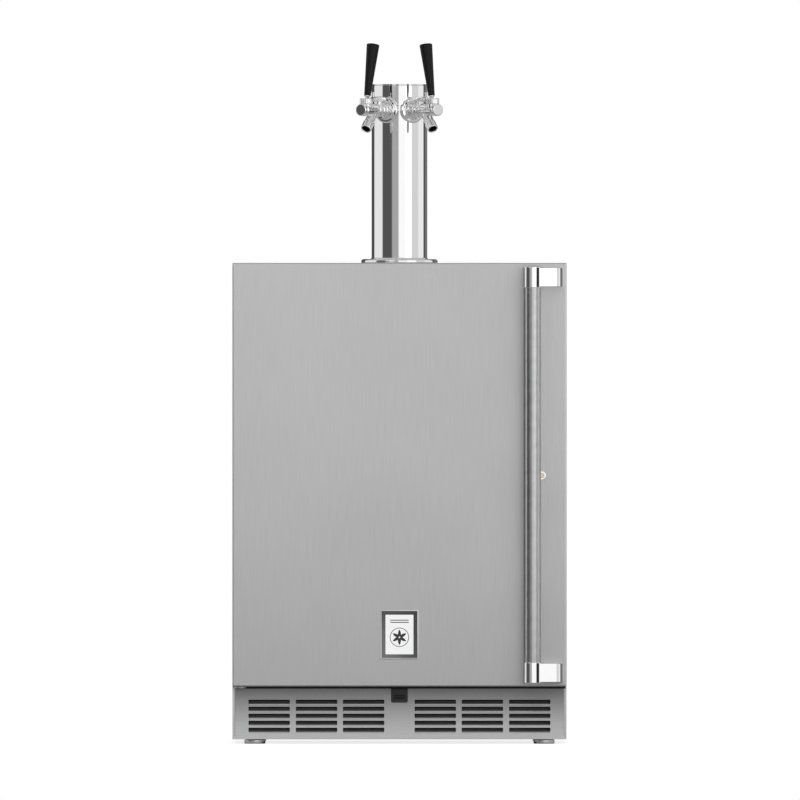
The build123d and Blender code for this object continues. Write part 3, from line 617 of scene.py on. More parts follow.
def fit(piece: Piece, body: str, slot: str, finish: str, *nodes: str) -> None:
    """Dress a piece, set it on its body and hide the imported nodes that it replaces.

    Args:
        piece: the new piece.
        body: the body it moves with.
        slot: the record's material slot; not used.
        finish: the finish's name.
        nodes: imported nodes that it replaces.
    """
    dress(piece, finish)
    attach(piece, body)
    if nodes:
        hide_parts(*nodes)
    log.info("%s on %s", piece.name, body)


# --- Sub-assemblies ---------------------------------------------------------------------------
POLISHED, SATIN = "stainless_polished", "stainless_satin"


class Span:
    """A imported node's box at rest."""

    def __init__(self, node: str) -> None:
        """Read the node's lowest and highest corners."""
        low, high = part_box(node)
        self.low, self.high = np.array(low), np.array(high)
        self.mid, self.size = (self.low + self.high) / 2, self.high - self.low

    def axis(self) -> Axes:
        """Return an upright frame through the box's middle."""
        return upright(self.mid[0], self.mid[1])

    def back(self) -> Axes:
        """Return a frame that faces the user, in the middle of the box's back."""
        return facing(self.mid[0], self.high[1], self.mid[2])


@dataclass
class Door:
    """The hinged door: skin, seal, bar handle, badge and lock."""

    edge_round: float = 2.6 * MM
    corner_round: float = 4.4 * MM
    sheet: float = 1.5 * MM
    tube_wall: float = 1.6 * MM
    pin_hole: float = 4.05 * MM
    pin_offset: tuple[float, float] = (0.35 * MM, 12 * MM)
    pocket: tuple[float, float, float] = (0.05, 0.055, 6.8 * MM)
    pocket_past_pin: tuple[float, float] = (14.5 * MM, 20 * MM)
    lock_hole: float = 7 * MM
    plug_hole: float = 4.06 * MM
    bracket_tall: float = 37.5 * MM
    arm_tall: float = 34.5 * MM
    arm_foot: float = 35 * MM
    petals: int = 6
    petal_centre: float = -5 * MM
    body: str = "door"
    skin: Span = field(default_factory=lambda: Span("door_skin"))

    def build_skin(self) -> None:
        """Make the folded front sheet as a thin shell with the hinge pocket and lock hole cut."""
        box, axes = self.skin, self.skin.back()
        outline = rectangle(box.size[0], box.size[2], self.corner_round)
        quarter = np.linspace(0, np.pi / 2, 7)
        inset, rise = self.edge_round * (1 - np.sin(quarter)), self.edge_round * (1 - np.cos(quarter))
        rim = np.column_stack([inset, box.size[1] - rise])
        rows = [*(rim + (self.sheet, -self.sheet)), (self.sheet, 0), (0, 0), *rim[::-1]]
        piece = Shape().hoop(axes, outline, np.array(rows), closed=False).object("door_front_sheet", 50)
        hinge = Span("hinge_brackets")
        pin_x, pin_y = hinge.mid[0] + self.pin_offset[0], hinge.low[1] + self.pin_offset[1]
        wide, deep, tall = self.pocket
        corner_x, corner_y = pin_x + self.pocket_past_pin[0], pin_y - self.pocket_past_pin[1]
        top = box.high[2] - self.sheet
        recess = rectangle(wide, deep, 1 * MM)
        pocket = Shape().slab(upright(corner_x - wide / 2, corner_y + deep / 2), recess, top - tall, top)
        bottom = box.low[2]
        lower = Shape().disc(upright(pin_x, pin_y), self.pin_hole, bottom - 0.01, bottom + 0.01, 0.0)
        barrel = Span("lock_housing")
        hole = Shape().disc(barrel.back(), self.lock_hole, -0.01, 0.08, 0.0, 48)
        carve(piece, [pocket, lower, hole])
        fit(piece, self.body, SATIN, "door_satin", "door_skin")

    def build_seal(self) -> None:
        """Make the bellows seal: a wavy section carried round the door's back."""
        box = Span("door_gasket")
        axes = Axes(np.array([box.mid[0], box.low[1], box.mid[2]]), RIGHT, -UP, BACK)
        outline = mitred(box.size[0], box.size[2])
        deep, wide = box.size[1], 18 * MM
        t = np.linspace(0, 1, 15)
        fold = 0.9 * MM * np.sin(3 * np.pi * t) ** 2
        outer = np.column_stack([fold, t * deep])
        top = np.column_stack([wide * t[1:-1], deep - 0.5 * MM * np.sin(4 * np.pi * t[1:-1]) ** 2])
        inner = np.column_stack([wide - fold, deep * (1 - t)])
        shape = Shape().hoop(axes, outline, np.vstack([outer, top, inner]))
        fit(shape.object("door_seal", 60), self.body, "seal_rubber", "seal", "door_gasket")

    def build_handle(self) -> None:
        """Make the stippled tube and its two polished end brackets."""
        tube, arms = Span("handle_tube"), Span("handle_brackets")
        x, y = tube.mid[0], tube.mid[1]
        radius, axis = tube.size[0] / 2, tube.axis()
        bore, ferrule = radius - self.tube_wall, y - arms.low[1]
        shape = Shape().ring(axis, bore, radius - 0.05 * MM, tube.low[2], tube.high[2], 0.4 * MM, 96)
        fit(shape.object("handle_bar"), self.body, "handle_steel", "handle_stipple", "handle_tube")
        face, near, far = self.skin.low[1], arms.high[0], arms.high[0] - self.arm_foot
        corners = [(x, y - 9 * MM), (x + 13 * MM, y - 11.7 * MM), (near - 5 * MM, y + 3 * MM),
                   (near, face - 14 * MM), (near, face), (far, face), (far, face - 15 * MM),
                   (x + 11 * MM, y + 15 * MM), (x, y + 0.8 * ferrule)]
        rounding = [0, 2 * MM, 9 * MM, 8 * MM, 0.6 * MM, 0.6 * MM, 7 * MM, 6 * MM, 0]
        outline = soften(corners, rounding, True, 9)
        # Painted shade: a thin black strip laid over the ferrule where each arm meets it stands in for the
        # dark line seen there; it is not a real part.
        azimuth = np.radians(np.linspace(26, 46, 9))
        band = np.column_stack([np.sin(azimuth), -np.cos(azimuth)])
        strip = np.vstack([band * (ferrule + 0.06 * MM), band[::-1] * (ferrule - 1 * MM)])
        painted_shade_strips, ends = Shape(), Shape()
        tall = self.bracket_tall
        for middle in (arms.low[2] + tall / 2, arms.high[2] - tall / 2):
            low, high = middle - tall / 2, middle + tall / 2
            ends.ring(axis, radius, ferrule, low, high, 1.1 * MM, 128)
            ends.ring(axis, bore, radius, low + 2 * MM, high - 2 * MM, 0.3 * MM, 96)
            painted_shade_strips.slab(axis, strip, low + 1.1 * MM, high - 1.1 * MM, 0.0, 1)
            arm_low, arm_high = middle - self.arm_tall / 2, middle + self.arm_tall / 2
            ends.slab(upright(0, 0), outline, arm_low, arm_high, 1.2 * MM, 5)
        fit(ends.object("handle_ends", 35), self.body, POLISHED, "mirror_steel", "handle_brackets")
        fit(painted_shade_strips.object("handle_painted_shade_strips"), self.body, "black_plastic", "painted_shade_black")
        plugs = Shape()
        for end, way in ((tube.low[2], 1), (tube.high[2], -1)):
            low, high = sorted((end, end + way * 6 * MM))
            plugs.disc(axis, bore, low, high, 0.5 * MM, 48)
        fit(plugs.object("handle_end_plugs"), self.body, "black_plastic", "black_plastic")

    def build_badge(self) -> None:
        """Make the badge: a bevelled bright frame, a mirror plate and a plain petal ornament."""
        box, plate = Span("badge_frame"), Span("badge_plate")
        axes = box.back()
        outline = mitred(box.size[0], box.size[2])
        deep, wide = box.size[1], (box.size[0] - plate.size[0]) / 2
        bead = soften([(0, 0), (0, deep - 0.9 * MM), (0.9 * MM, deep), (1.7 * MM, deep),
                       (2.2 * MM, deep - 0.6 * MM), (2.2 * MM, 0)], 0.3 * MM, True, 3)
        shape = Shape().hoop(axes, outline, bead)
        fit(shape.object("badge_rim", 30), self.body, POLISHED, "mirror_steel", "badge_frame")
        # Painted shade: the frame's inner slope is polished steel like the rim, but coloured dark to stand
        # for how dark it looks.
        slope = soften([(2.3 * MM, 0), (2.3 * MM, deep - 0.7 * MM), (wide - 0.4 * MM, deep - 1.7 * MM),
                        (wide, 0)], 0.2 * MM, True, 3)
        band = Shape().hoop(axes, outline, slope)
        fit(band.object("badge_bevel_painted_shade", 30), self.body, POLISHED, "painted_shade_bevel_steel")
        inner = rectangle(plate.size[0], plate.size[2], 0.4 * MM)
        panel = Shape().slab(axes, inner, 0, plate.size[1], (0, 0.2 * MM))
        fit(panel.object("badge_panel"), self.body, POLISHED, "turned_steel", "badge_plate")
        top = plate.size[1]
        a = np.linspace(0, 2 * np.pi, 181)[:-1]
        along, across = 7.5 * MM + 6.2 * MM * np.cos(a), 2.3 * MM * np.sin(a) * (1.15 - 0.35 * np.cos(a))
        emblem = Shape()
        for ray in range(self.petals):
            turn = ray * 2 * np.pi / self.petals
            petal = np.column_stack([along * np.sin(turn) + across * np.cos(turn),
                                     along * np.cos(turn) - across * np.sin(turn) + self.petal_centre])
            emblem.slab(axes, petal, top, top + 0.7 * MM, (0, 0.4 * MM), 3)
        emblem.ring(axes.moved(0, self.petal_centre), 16.2 * MM, 17.4 * MM, top, top + 0.7 * MM, 0.2 * MM, 96)
        bar = rectangle(34 * MM, 1.6 * MM, 0.7 * MM)
        for height in (22 * MM, 26 * MM):
            emblem.slab(axes.moved(0, height), bar, top, top + 0.6 * MM, (0, 0.3 * MM), 3)
        fit(emblem.object("badge_ornament", 40), self.body, POLISHED, "enamel")

    def build_lock(self) -> None:
        """Make the lock's rim and its barrel through the door."""
        box = Span("lock_housing")
        axes = box.back()
        deep = box.size[1]
        shape = Shape().ring(axes, self.plug_hole, self.lock_hole - 0.02 * MM, 0, deep - 2 * MM, 0.2 * MM, 48)
        shape.ring(axes, self.plug_hole, box.size[0] / 2, deep - 2.5 * MM, deep, 0.8 * MM, 96)
        fit(shape.object("lock_rim", 35), self.body, POLISHED, "turned_steel", "lock_housing")

    def build(self) -> None:
        """Make the whole door."""
        self.build_skin()
        self.build_seal()
        self.build_handle()
        self.build_badge()
        self.build_lock()


@dataclass
class KickPlate:
    """The slotted plate under the door, with its pressed lips, air vanes and clip."""

    columns: tuple[float, ...] = (-236.5, -150.5, -65.0, 65.0, 150.5, 236.5)
    rows: int = 5
    row_low: float = 25.4 * MM
    pitch: float = 12.7 * MM
    slot: tuple[float, float] = (75 * MM, 7.6 * MM)
    sheet: float = 1.5 * MM
    vane_tilt: float = np.radians(38)
    filter_place: tuple[float, float] = (-0.2165, 0.0572)
    filter_size: tuple[float, float, float] = (0.59, 0.0932, 4 * MM)
    box: Span = field(default_factory=lambda: Span("kick_grille"))

    def places(self) -> list[tuple[float, float]]:
        """Return every slot's centre as (x, z)."""
        return [(x * MM, self.row_low + row * self.pitch) for x in self.columns for row in range(self.rows)]

    def build(self) -> None:
        """Make the plate, lips, vanes, top flange, filter pad and clip."""
        box = self.box
        axes = facing(box.mid[0], box.low[1] + self.sheet, box.mid[2])
        plate = Shape().slab(axes, rectangle(box.size[0], box.size[2], 0.8 * MM), 0, self.sheet, 0.4 * MM)
        slots, lips, vanes = Shape(), Shape(), Shape()
        wide, tall = self.slot
        opening, vane = rectangle(wide, tall, 0.9 * MM, 3), rectangle(wide, 10 * MM, 0.3 * MM, 2)
        slope = np.array([0, np.cos(self.vane_tilt), np.sin(self.vane_tilt)])
        for x, z in self.places():
            spot = facing(x, box.low[1], z)
            slots.slab(spot, opening, -0.01, 0.01)
            start = np.array([x - wide / 2 + 0.6 * MM, box.low[1] + 0.25 * MM, z - tall / 2 + 0.1 * MM])
            edge = start - np.array([0, 0, 0.9 * MM])
            lips.disc(aimed(edge, RIGHT), 1.15 * MM, 0, wide - 1.2 * MM, 0.8 * MM, 16)
            hinge = start + np.array([wide / 2 - 0.6 * MM, 1.2 * MM, 0])
            flat = Axes(hinge, RIGHT, slope, np.cross(RIGHT, slope))
            vanes.slab(flat.moved(0, 5 * MM), vane, 0, 0.7 * MM, 0.1 * MM, 2)
        piece = plate.object("kick_plate", 40)
        carve(piece, [slots])
        fit(piece, "cabinet", SATIN, "kick_satin", "kick_grille")
        fit(lips.object("slot_lips"), "cabinet", SATIN, "lip_satin")
        fit(vanes.object("air_vanes"), "cabinet", SATIN, "vane_grey")
        flange = Shape().slab(upright(box.mid[0], (box.low[1] + box.high[1]) / 2),
                              rectangle(box.size[0], box.size[1] - 2 * self.sheet, 0.5 * MM),
                              box.high[2] - self.sheet, box.high[2] - 0.01 * MM, 0.2 * MM)
        fit(flange.object("kick_flange"), "cabinet", SATIN, "kick_satin")
        wide, tall, deep = self.filter_size
        pad_axes = facing(box.mid[0], *self.filter_place)
        pad = Shape().slab(pad_axes, rectangle(wide, tall, 1 * MM), 0, deep, 0.5 * MM)
        fit(pad.object("intake_filter"), "cabinet", "black_plastic", "vane_grey")
        self.build_clip()

    def build_clip(self) -> None:
        """Make the spring clip at the plate's middle, with its lower corners rounded."""
        clip = Span("grille_clip")
        rounding = [3.6 * MM, 3.6 * MM, 0.4 * MM, 0.4 * MM]
        outline = soften(mitred(clip.size[0], clip.size[2]), rounding, True, 6)
        axes = clip.back()
        face = clip.size[1]
        shape = Shape().slab(axes, outline, 0, face, (0, 0.9 * MM))
        groove = rectangle(clip.size[0] - 9 * MM, 1.2 * MM, 0.5 * MM)
        for step in (-1, 0, 1):
            shape.slab(axes.moved(0, step * 3 * MM - 3 * MM), groove, face - 0.3 * MM, face, 0)
        fit(shape.object("kick_clip"), "cabinet", "black_plastic", "black_plastic", "grille_clip")


@dataclass
class Feet:
    """The four levelling feet: a turned pad, a hexagon and a threaded stem."""

    thread: float = 1.5 * MM
    depth: float = 0.35 * MM
    stem: float = 4.98 * MM
    pad_top: float = 7.3 * MM
    hexagon: float = 8.4 * MM
    hexagon_top: float = 13.6 * MM

    def build(self) -> None:
        """Make each foot on its own body."""
        for corner in ("front_left", "front_right", "rear_left", "rear_right"):
            node = f"leveling_leg_{corner}"
            box = Span(node)
            axis = box.axis()
            pad, top = box.size[0] / 2, self.pad_top
            profile = soften([(0, 0), (pad - 1 * MM, 0), (pad, 0.7 * MM), (pad, top - 0.7 * MM),
                              (pad - 1 * MM, top), (0, top)], 0.5 * MM)
            shape = Shape().turn(axis, profile, 72)
            hexagon = soften(round_outline(self.hexagon, 6), 0.5 * MM, True, 3)
            shape.slab(axis, hexagon, top - 0.2 * MM, self.hexagon_top, 0.5 * MM)
            count = int((box.high[2] - 14 * MM) / self.thread) * 2
            height = self.hexagon_top + np.arange(count + 1) * self.thread / 2
            radius = self.stem - self.depth * (np.arange(count + 1) % 2)
            stem = np.vstack([[0, height[0]], np.column_stack([radius, height]), [0, height[-1]]])
            shape.turn(axis, stem, 32)
            fit(shape.object(f"foot_{corner}", 30), f"leg_{corner}", POLISHED, "turned_steel", node)


@dataclass
class Tower:
    """The draught tower: flange, screws, column and lift-off cap."""

    wall: float = 1.5 * MM
    flange_hole: float = 40 * MM
    screw_circle: float = 60.5 * MM

    def build(self) -> None:
        """Make the tower's turned pieces."""
        flange, column, cap = Span("tower_flange"), Span("tower_column"), Span("tower_cap")
        axis = column.axis()
        rim, radius = flange.size[0] / 2, column.size[0] / 2
        low, high = flange.low[2], flange.high[2]
        hole = self.flange_hole
        profile = looped([(hole, low), (rim, low), (rim, high - 2.4 * MM), (rim - 3 * MM, high),
                          (radius + 1.6 * MM, high), (radius + 0.2 * MM, high), (hole, high)], 1.2 * MM)
        base = Shape().turn(axis, profile, 160)
        inside, under = radius - 0.2 * MM, high - 0.2 * MM
        weld = [(inside, under), (radius + 2.2 * MM, under), (inside, high + 2.4 * MM)]
        base.turn(axis, looped(weld, 0.4 * MM, 5), 160)
        fit(base.object("tower_foot", 30), "cabinet", POLISHED, "mirror_steel", "tower_flange")
        tube = Shape().ring(axis, radius - self.wall, radius, column.low[2], column.high[2], 0.35 * MM, 192)
        fit(tube.object("tower_tube", 30), "cabinet", POLISHED, "mirror_steel", "tower_column")
        top = cap.high[2]
        lid = Shape().disc(axis, radius, column.high[2] + 0.3 * MM, top, 1.0 * MM, 192)
        lid.ring(axis, radius - 4 * MM, radius - self.wall - 0.3 * MM, cap.low[2],
                 column.high[2] + 0.5 * MM, 0.4 * MM, 128)
        fit(lid.object("tower_lid", 30), "cap", POLISHED, "mirror_steel", "tower_cap")
        self.build_screws(axis, high)

    def build_screws(self, axis: Axes, height: float) -> None:
        """Make four domed screws with socket recesses round the flange."""
        shape = Shape()
        circle = self.screw_circle
        dome = [(0, 1.0), (1.4, 1.0), (1.5, 2.7), (2.9, 2.5), (4.0, 1.6), (4.5, 0.3), (4.4, 0.0), (0, 0.0)]
        profile = soften([(r * MM, height + h * MM) for r, h in dome], 0.3 * MM)
        for turn in np.radians([45, 135, 225, 315]):
            shape.turn(axis.moved(circle * np.cos(turn), circle * np.sin(turn)), profile, 32)
        fit(shape.object("tower_fixings", 35), "cabinet", POLISHED, "turned_steel", "tower_screws")


@dataclass
class Tap:
    """One splayed tap, built outwards from the tower's axis along its own direction.

    Turned sections are (radius, height) corners in millimetres; a height is a distance from the
    tower's axis on a level frame, and above the floor on a post frame.
    """

    side: int
    angle: float = np.radians(28.0)
    height: float = 1152 * MM
    pivot: tuple[float, float] = (128.6 * MM, 1160 * MM)
    lean: float = np.radians(13.3)
    valve_height: float = 1172 * MM
    spout_tip: tuple[float, float] = (130 * MM, 1117 * MM)
    spout_length: float = 44 * MM
    boss_drop: float = 11.2 * MM
    ball: float = 4.85
    neck_reach: float = 80 * MM
    pin_reach: float = 102 * MM

    def __post_init__(self) -> None:
        """Work out the tap's direction and name from its side."""
        self.name = "left" if self.side < 0 else "right"
        column = Span("tower_column")
        self.out = np.array([self.side * np.sin(self.angle), -np.cos(self.angle), 0.0])
        self.foot = np.array([column.mid[0], column.mid[1], 0.0])

    def at(self, reach: float, height: float) -> Array:
        """Return a point by its distance from the tower's axis and its height."""
        return self.foot + self.out * reach + UP * height

    def level(self, height: float) -> Axes:
        """Return a frame whose z runs outwards from the tower's axis at one height."""
        return aimed(self.at(0, height), self.out)

    def post(self, reach: float) -> Axes:
        """Return an upright frame at one distance from the tower."""
        return aimed(self.at(reach, 0), UP, self.out)

    def collar(self, shape: Shape) -> None:
        """Add the flared collar that closes the tower's hole."""
        profile = soften([(0, 44.7), (23.4, 44.7), (23.4, 51.5), (21.5, 53.6), (17.0, 54.4), (15.2, 57.0),
                          (11.5, 57.4), (0, 57.4)], 0.9)
        shape.turn(self.level(self.height), profile * MM, 128)

    def nut(self, shape: Shape) -> Shape:
        """Add the coupling nut and return the spanner holes to cut from it."""
        axes = self.level(self.height)
        corners = [(11.05, 58.6), (14.2, 58.6), (15, 60.2), (15, 71.4), (13.6, 73.2), (11.05, 73.2)]
        shape.turn(axes, looped(corners, 0.6) * MM, 96)
        holes = Shape()
        for turn in np.arange(6) * np.pi / 3 + np.pi / 6:
            way = np.cos(turn) * axes.x + np.sin(turn) * axes.y
            root = axes.place(np.array([0, 0, 66 * MM])) + way * 12.4 * MM
            holes.disc(aimed(root, way), 2.3 * MM, 0, 6 * MM, 0, 20)
        return holes

    def build_body(self) -> None:
        """Make the faucet body: turned barrel, lever seat, angled spout and flow-control housing."""
        axes = self.level(self.height)
        barrel = soften([(0, 73.6), (12.4, 73.6), (12.4, 78.2), (10.2, 80.4), (10.2, 87), (12, 88.4),
                         (12, 92.6), (10.4, 94), (10.4, 114), (11.2, 116), (11.2, 138), (9.6, 140),
                         (8.2, 141), (8.2, 142.6), (0, 142.6)], 0.7)
        shape = Shape().turn(axes, barrel * MM, 96)
        seat = soften([(0, 1150), (11.0, 1150), (11.6, 1158), (11.0, 1162.4), (5.4, 1162.4),
                       (5.4, 1161.4), (0, 1161.4)], 0.5)
        shape.turn(self.post(self.pivot[0]), seat * MM, 72)
        down = (self.out - UP) / np.sqrt(2)
        tip = self.at(*self.spout_tip)
        root = tip - down * self.spout_length
        spout = soften([(0, 0), (8.4, 0), (8.8, 18), (8.8, 26), (9.75, 29), (9.75, 43.2), (9.2, 44),
                        (8.1, 44), (7.5, 43), (7.5, 26), (0, 26)], 0.6)
        shape.turn(aimed(root, down), spout * MM, 72)
        neck = soften([(0, 1158), (6.4, 1158), (5.4, 1163), (5.4, 1168), (0, 1168)], 0.8)
        shape.turn(self.post(self.neck_reach), neck * MM, 40)
        valve = soften([(0, 61), (3.4, 61), (5, 62.4), (5, 68), (4.4, 68.8), (4.4, 70.4), (5, 71.2),
                        (5, 95.5), (4.2, 96.8), (0, 96.8)], 0.4)
        shape.turn(self.level(self.valve_height), valve * MM, 48)
        boss = soften([(0, 60), (5.3, 60), (5.3, 74.2), (4.6, 75), (2.6, 75), (2.2, 72.5), (0, 72.5)], 0.3)
        lower = self.level(self.height - self.boss_drop)
        shape.turn(lower, boss * MM, 36)
        piece = shape.object(f"faucet_{self.name}", 32)
        fit(piece, "cabinet", POLISHED, "mirror_steel", f"faucet_body_{self.name}")
        # Painted shade: a near-black lining inside the spout's bore and a black disc at the bottom of the
        # boss's hole stand in for the shade in these openings.
        bore = soften([(7.46, 27), (7.46, 42.8), (7.1, 42.8), (7.0, 27.6), (0, 27.6), (0, 27)], 0.2)
        dark = Shape().turn(aimed(root, down), bore * MM, 48)
        dark.disc(lower, 2.1 * MM, 72.6 * MM, 73.4 * MM, 0.2 * MM, 24)
        fit(dark.object(f"faucet_bore_painted_shade_{self.name}"), "cabinet", "black_plastic", "painted_shade_black")

    def caps(self, shape: Shape) -> None:
        """Add the knurled bonnet and the domed front cap."""
        bonnet = looped([(5.35, 1162.65), (11.4, 1162.65), (12, 1163.6), (12, 1171.6), (11, 1173.3),
                         (9.6, 1173.3), (7.0, 1167.5), (5.35, 1164.5)], 0.35)
        shape.turn(self.post(self.pivot[0]), bonnet * MM, 144, (24, 0.45 * MM))
        front = soften([(0, 142.8), (8.4, 142.8), (11, 143.8), (11, 148.8), (9.6, 150.3), (0, 150.5)], 0.6)
        shape.turn(self.level(self.height), front * MM, 96, (48, 0.22 * MM))

    def build_lever(self) -> None:
        """Make the ball lever and the tapered black handle above it, leaning back a little."""
        way = np.cos(self.lean) * UP - np.sin(self.lean) * self.out
        axes = aimed(self.at(*self.pivot), way, self.out)
        a = np.linspace(-np.pi / 2 + 0.45, np.pi / 2 - 0.5, 14)
        ball = np.column_stack([self.ball * np.cos(a), self.ball * np.sin(a)])
        lower = [(0, -8.0), (1.4, -8.0), (1.9, -7.2), (1.9, -4.6)]
        upper = [(2.3, 5.0), (2.3, 13.6), (3.6, 14.8), (5.3, 17.2), (5.3, 18.0), (2.2, 18.2),
                 (2.2, 38), (0, 38)]
        lever = Shape().turn(axes, np.vstack([lower, ball, upper]) * MM, 48)
        body = f"tap_{self.name}"
        fit(lever.object(f"lever_{self.name}", 35), body, POLISHED, "turned_steel",
            f"tap_lever_{self.name}")
        t = np.linspace(0, 1, 24)
        flank = np.column_stack([6.05 + 5.55 * t ** 1.05, 18.9 + 93.8 * t])
        top = [(11.5, 113.6), (11.0, 114.2), (9.9, 114.5), (0, 114.5)]
        foot = [(2.25, 18.1), (5.2, 18.1), (5.85, 18.4)]
        inside = [(0, 38.4), (2.25, 38.4)]
        grip = Shape().turn(axes, np.vstack([inside, foot, flank, top]) * MM, 96)
        fit(grip.object(f"handle_grip_{self.name}", 35), body, "handle_plastic", "handle_black",
            f"tap_handle_{self.name}")

    def build_flow_lever(self) -> None:
        """Make the flow-control hub and its small pin."""
        hub = soften([(0, 97.3), (4.0, 97.3), (4.6, 98), (4.6, 105.2), (3.8, 106), (0, 106)], 0.4)
        shape = Shape().turn(self.level(self.valve_height), hub * MM, 40)
        pin = soften([(0, 1172), (2.1, 1172), (1.9, 1179), (2.25, 1182.5), (2.0, 1184.6), (0, 1185)], 0.6)
        shape.turn(self.post(self.pin_reach), pin * MM, 32)
        fit(shape.object(f"flow_pin_{self.name}", 35), f"flow_control_{self.name}", POLISHED,
            "turned_steel", f"flow_lever_{self.name}")

    def build(self) -> None:
        """Make the tap's own pieces."""
        self.build_body()
        self.build_lever()
        self.build_flow_lever()


def build_tap_sets(taps: list[Tap]) -> None:
    """Make the pieces that both taps share as one node: collars, nuts and caps."""
    collars, caps, nuts = Shape(), Shape(), Shape()
    holes = []
    for tap in taps:
        tap.collar(collars)
        tap.caps(caps)
        holes.append(tap.nut(nuts))
    fit(collars.object("tap_collars", 30), "cabinet", POLISHED, "mirror_steel", "shank_collars")
    fit(caps.object("tap_caps", 40), "cabinet", POLISHED, "mirror_steel", "faucet_caps")
    piece = nuts.object("tap_nuts", 35)
    carve(piece, holes)
    fit(piece, "cabinet", POLISHED, "turned_steel", "coupling_nuts")


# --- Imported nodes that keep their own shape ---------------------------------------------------
KEPT = {
    "side_satin": ("side_panel_left", "side_panel_right"),
    "top_satin": ("top_panel",),
    "zinc": ("rear_panel", "rear_service_cover", "base_pan", "hinge_brackets", "fan_shroud"),
    "foam": ("cabinet_foam", "door_foam", "tower_insulation"),
    "liner": ("inner_liner", "breaker_frame", "evaporator_cover", "control_housing", "line_bulkhead"),
    "door_liner": ("door_liner",),
    "inner_steel": ("keg_deck",),
    "seal": ("tower_gasket",),
    "black_plastic": ("gas_port_bushing", "condenser_fan", "thermostat_knob"),
    "turned_steel": ("shanks", "valve_plunger_left", "valve_plunger_right"),
    "fin_aluminium": ("condenser_coil", "evaporator_coil"),
    "copper": ("copper_lines",),
    "enamel": ("compressor",),
    "diffuser": ("light_lens",),
    "beer_line": ("beer_lines",),
    "brass": ("lock_plug",),
}


def dress_kept_nodes() -> None:
    """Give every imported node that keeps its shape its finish."""
    for finish, nodes in KEPT.items():
        for node in nodes:
            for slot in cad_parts[node].material_slots:
                slot.material = MATERIALS[finish]
            log.info("%s keeps its shape, in %s", node, finish)


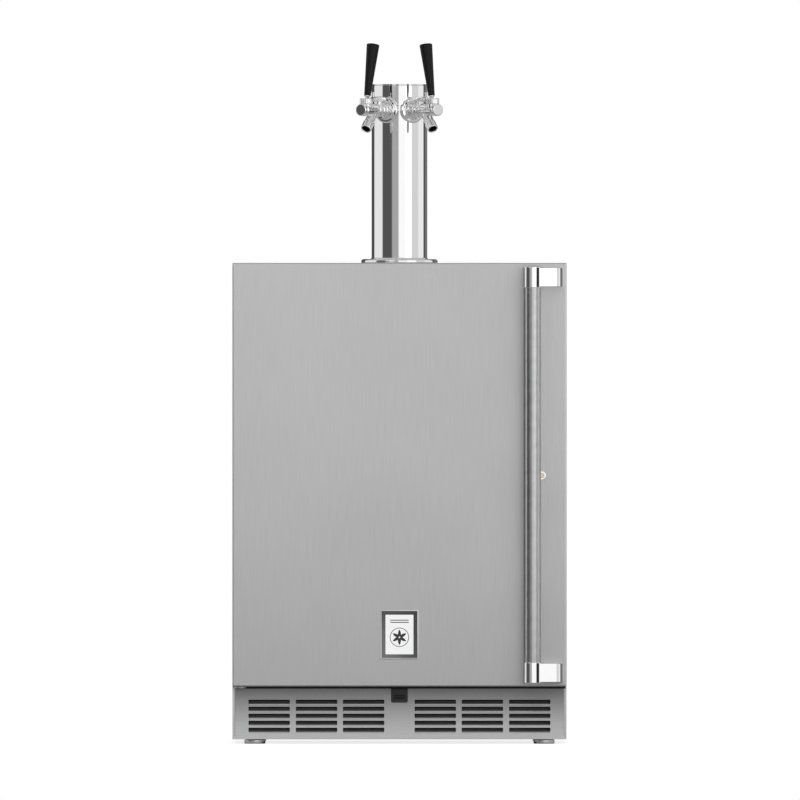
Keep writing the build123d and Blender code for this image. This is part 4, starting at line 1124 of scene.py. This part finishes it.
# --- Studio -----------------------------------------------------------------------------------
@dataclass
class Studio:
    """The floor, surrounding light and camera."""

    door_face: float = -0.272
    distance: float = 60.0
    eye: tuple[float, float] = (0.001, 0.624)
    view_width: float = 1.4512
    strength: float = 1.0
    floor_radius: float = 3.0
    floor_glow: float = 0.8
    ceiling: float = 0.5
    ceiling_rise: tuple[float, float] = (0.45, 0.75)
    pit: float = 0.15
    pit_fall: tuple[float, float] = (-0.2, -0.5)
    # Each lamp's name, place, side and watts.
    lamps: tuple[tuple, ...] = (("key", (-2.4, -4.2, 2.4), 2.4, 18.0), ("fill", (3.2, -4.0, 1.6), 2.6, 8.0))
    lamp_aim: tuple[float, float, float] = (0, 0, 0.7)
    # Brightness round the horizon: (degrees from straight ahead towards +X, grey level 0 to 1).
    horizon: tuple[tuple[float, float], ...] = (
        (-180, 0.07), (-130, 0.07), (-126, 0.83), (-77, 0.83), (-73, 0.085), (-33, 0.085), (-29, 0.39),
        (-5.5, 0.39), (-1.5, 1.02), (48, 1.02), (52, 0.68), (83, 0.68), (87, 0.87),
        (117, 0.87), (121, 0.08), (132, 0.08), (136, 0.18), (180, 0.18))

    def build_camera(self) -> None:
        """Place the long-lens camera straight in front."""
        data = bpy.data.cameras.new("camera")
        data.sensor_width = 36.0
        data.lens = data.sensor_width * self.distance / self.view_width
        data.clip_start, data.clip_end = 1.0, 2 * self.distance
        camera = bpy.data.objects.new("camera", data)
        camera.location = (self.eye[0], self.door_face - self.distance, self.eye[1])
        camera.rotation_euler = (np.pi / 2, 0, 0)
        bpy.context.scene.collection.objects.link(camera)
        bpy.context.scene.camera = camera

    def build_world(self) -> None:
        """Light the scene from a ring of studio panels, a ceiling and a dark ground."""
        world = bpy.data.worlds.new("studio")
        world.use_nodes = True
        bpy.context.scene.world = world
        world.node_tree.nodes.clear()
        graph = Graph(world.node_tree)
        way = graph.add("SeparateXYZ", {0: graph.add("TexCoord")["Generated"]})
        azimuth = graph.math("ARCTAN2", way["X"], graph.math("MULTIPLY", way["Y"], -1.0))
        place = graph.math("ADD", graph.math("DIVIDE", azimuth, 2 * np.pi), 0.5)
        tone = graph.add("ValToRGB", {0: place})[0]
        stops = tone.node.color_ramp.elements
        for number, (degrees, level) in enumerate(self.horizon):
            position = degrees / 360 + 0.5
            stop = stops[number] if number < 2 else stops.new(position)
            stop.position, stop.color = position, (level, level, level, 1)
        for start, end, level in ((*self.ceiling_rise, self.ceiling), (*self.pit_fall, self.pit)):
            part = graph.add("MapRange", {"Value": way["Z"], "From Min": start, "From Max": end})
            tone = graph.blend(part[0], tone, (level, level, level))
        room = graph.add("Background", {"Color": tone, "Strength": self.strength})
        seen = graph.add("Background", {"Color": (1.0, 1.0, 1.0)})
        both = graph.add("MixShader", {0: graph.add("LightPath")["Is Camera Ray"], 1: room[0], 2: seen[0]})
        graph.add("OutputWorld", {0: both[0]})
        bpy.context.scene.view_settings.view_transform = "Standard"

    def build_floor(self) -> None:
        """Lay a pale floor that reaches past the view and looks as bright as the backdrop."""
        disc = Shape().slab(upright(0, 0), round_outline(self.floor_radius, 96), -0.02, 0.0, 0.0, 1)
        floor = disc.object("floor")
        paint = Paint("pale_floor")
        glow = paint.math("MULTIPLY", paint.add("LightPath")["Is Camera Ray"], self.floor_glow)
        paint.set(Base_Color=(0.5, 0.5, 0.5), Roughness=0.9)
        paint.set(Emission_Color=(1.0, 1.0, 1.0), Emission_Strength=glow)
        floor.data.materials.append(paint.material)

    def build_lamps(self) -> None:
        """Hang two large soft lamps in front of and above the machine."""
        for name, place, size, power in self.lamps:
            data = bpy.data.lights.new(name, "AREA")
            data.shape, data.size, data.energy = "SQUARE", size, power
            lamp = bpy.data.objects.new(name, data)
            lamp.location = place
            aim = np.array(self.lamp_aim) - np.array(place)
            yaw = np.arctan2(aim[1], aim[0]) - np.pi / 2
            lamp.rotation_euler = (np.arccos(-aim[2] / np.linalg.norm(aim)), 0, yaw)
            bpy.context.scene.collection.objects.link(lamp)

    def build(self) -> None:
        """Make the whole studio, camera first."""
        self.build_camera()
        self.build_world()
        self.build_floor()
        self.build_lamps()


def main() -> None:
    """Build the studio and then the machine, one sub-assembly at a time."""
    logging.basicConfig(level=logging.INFO, format="%(name)s: %(message)s")
    Studio().build()
    dress_kept_nodes()
    Door().build()
    KickPlate().build()
    Feet().build()
    Tower().build()
    taps = [Tap(-1), Tap(1)]
    for tap in taps:
        tap.build()
    build_tap_sets(taps)


if __name__ == "__main__":
    main()
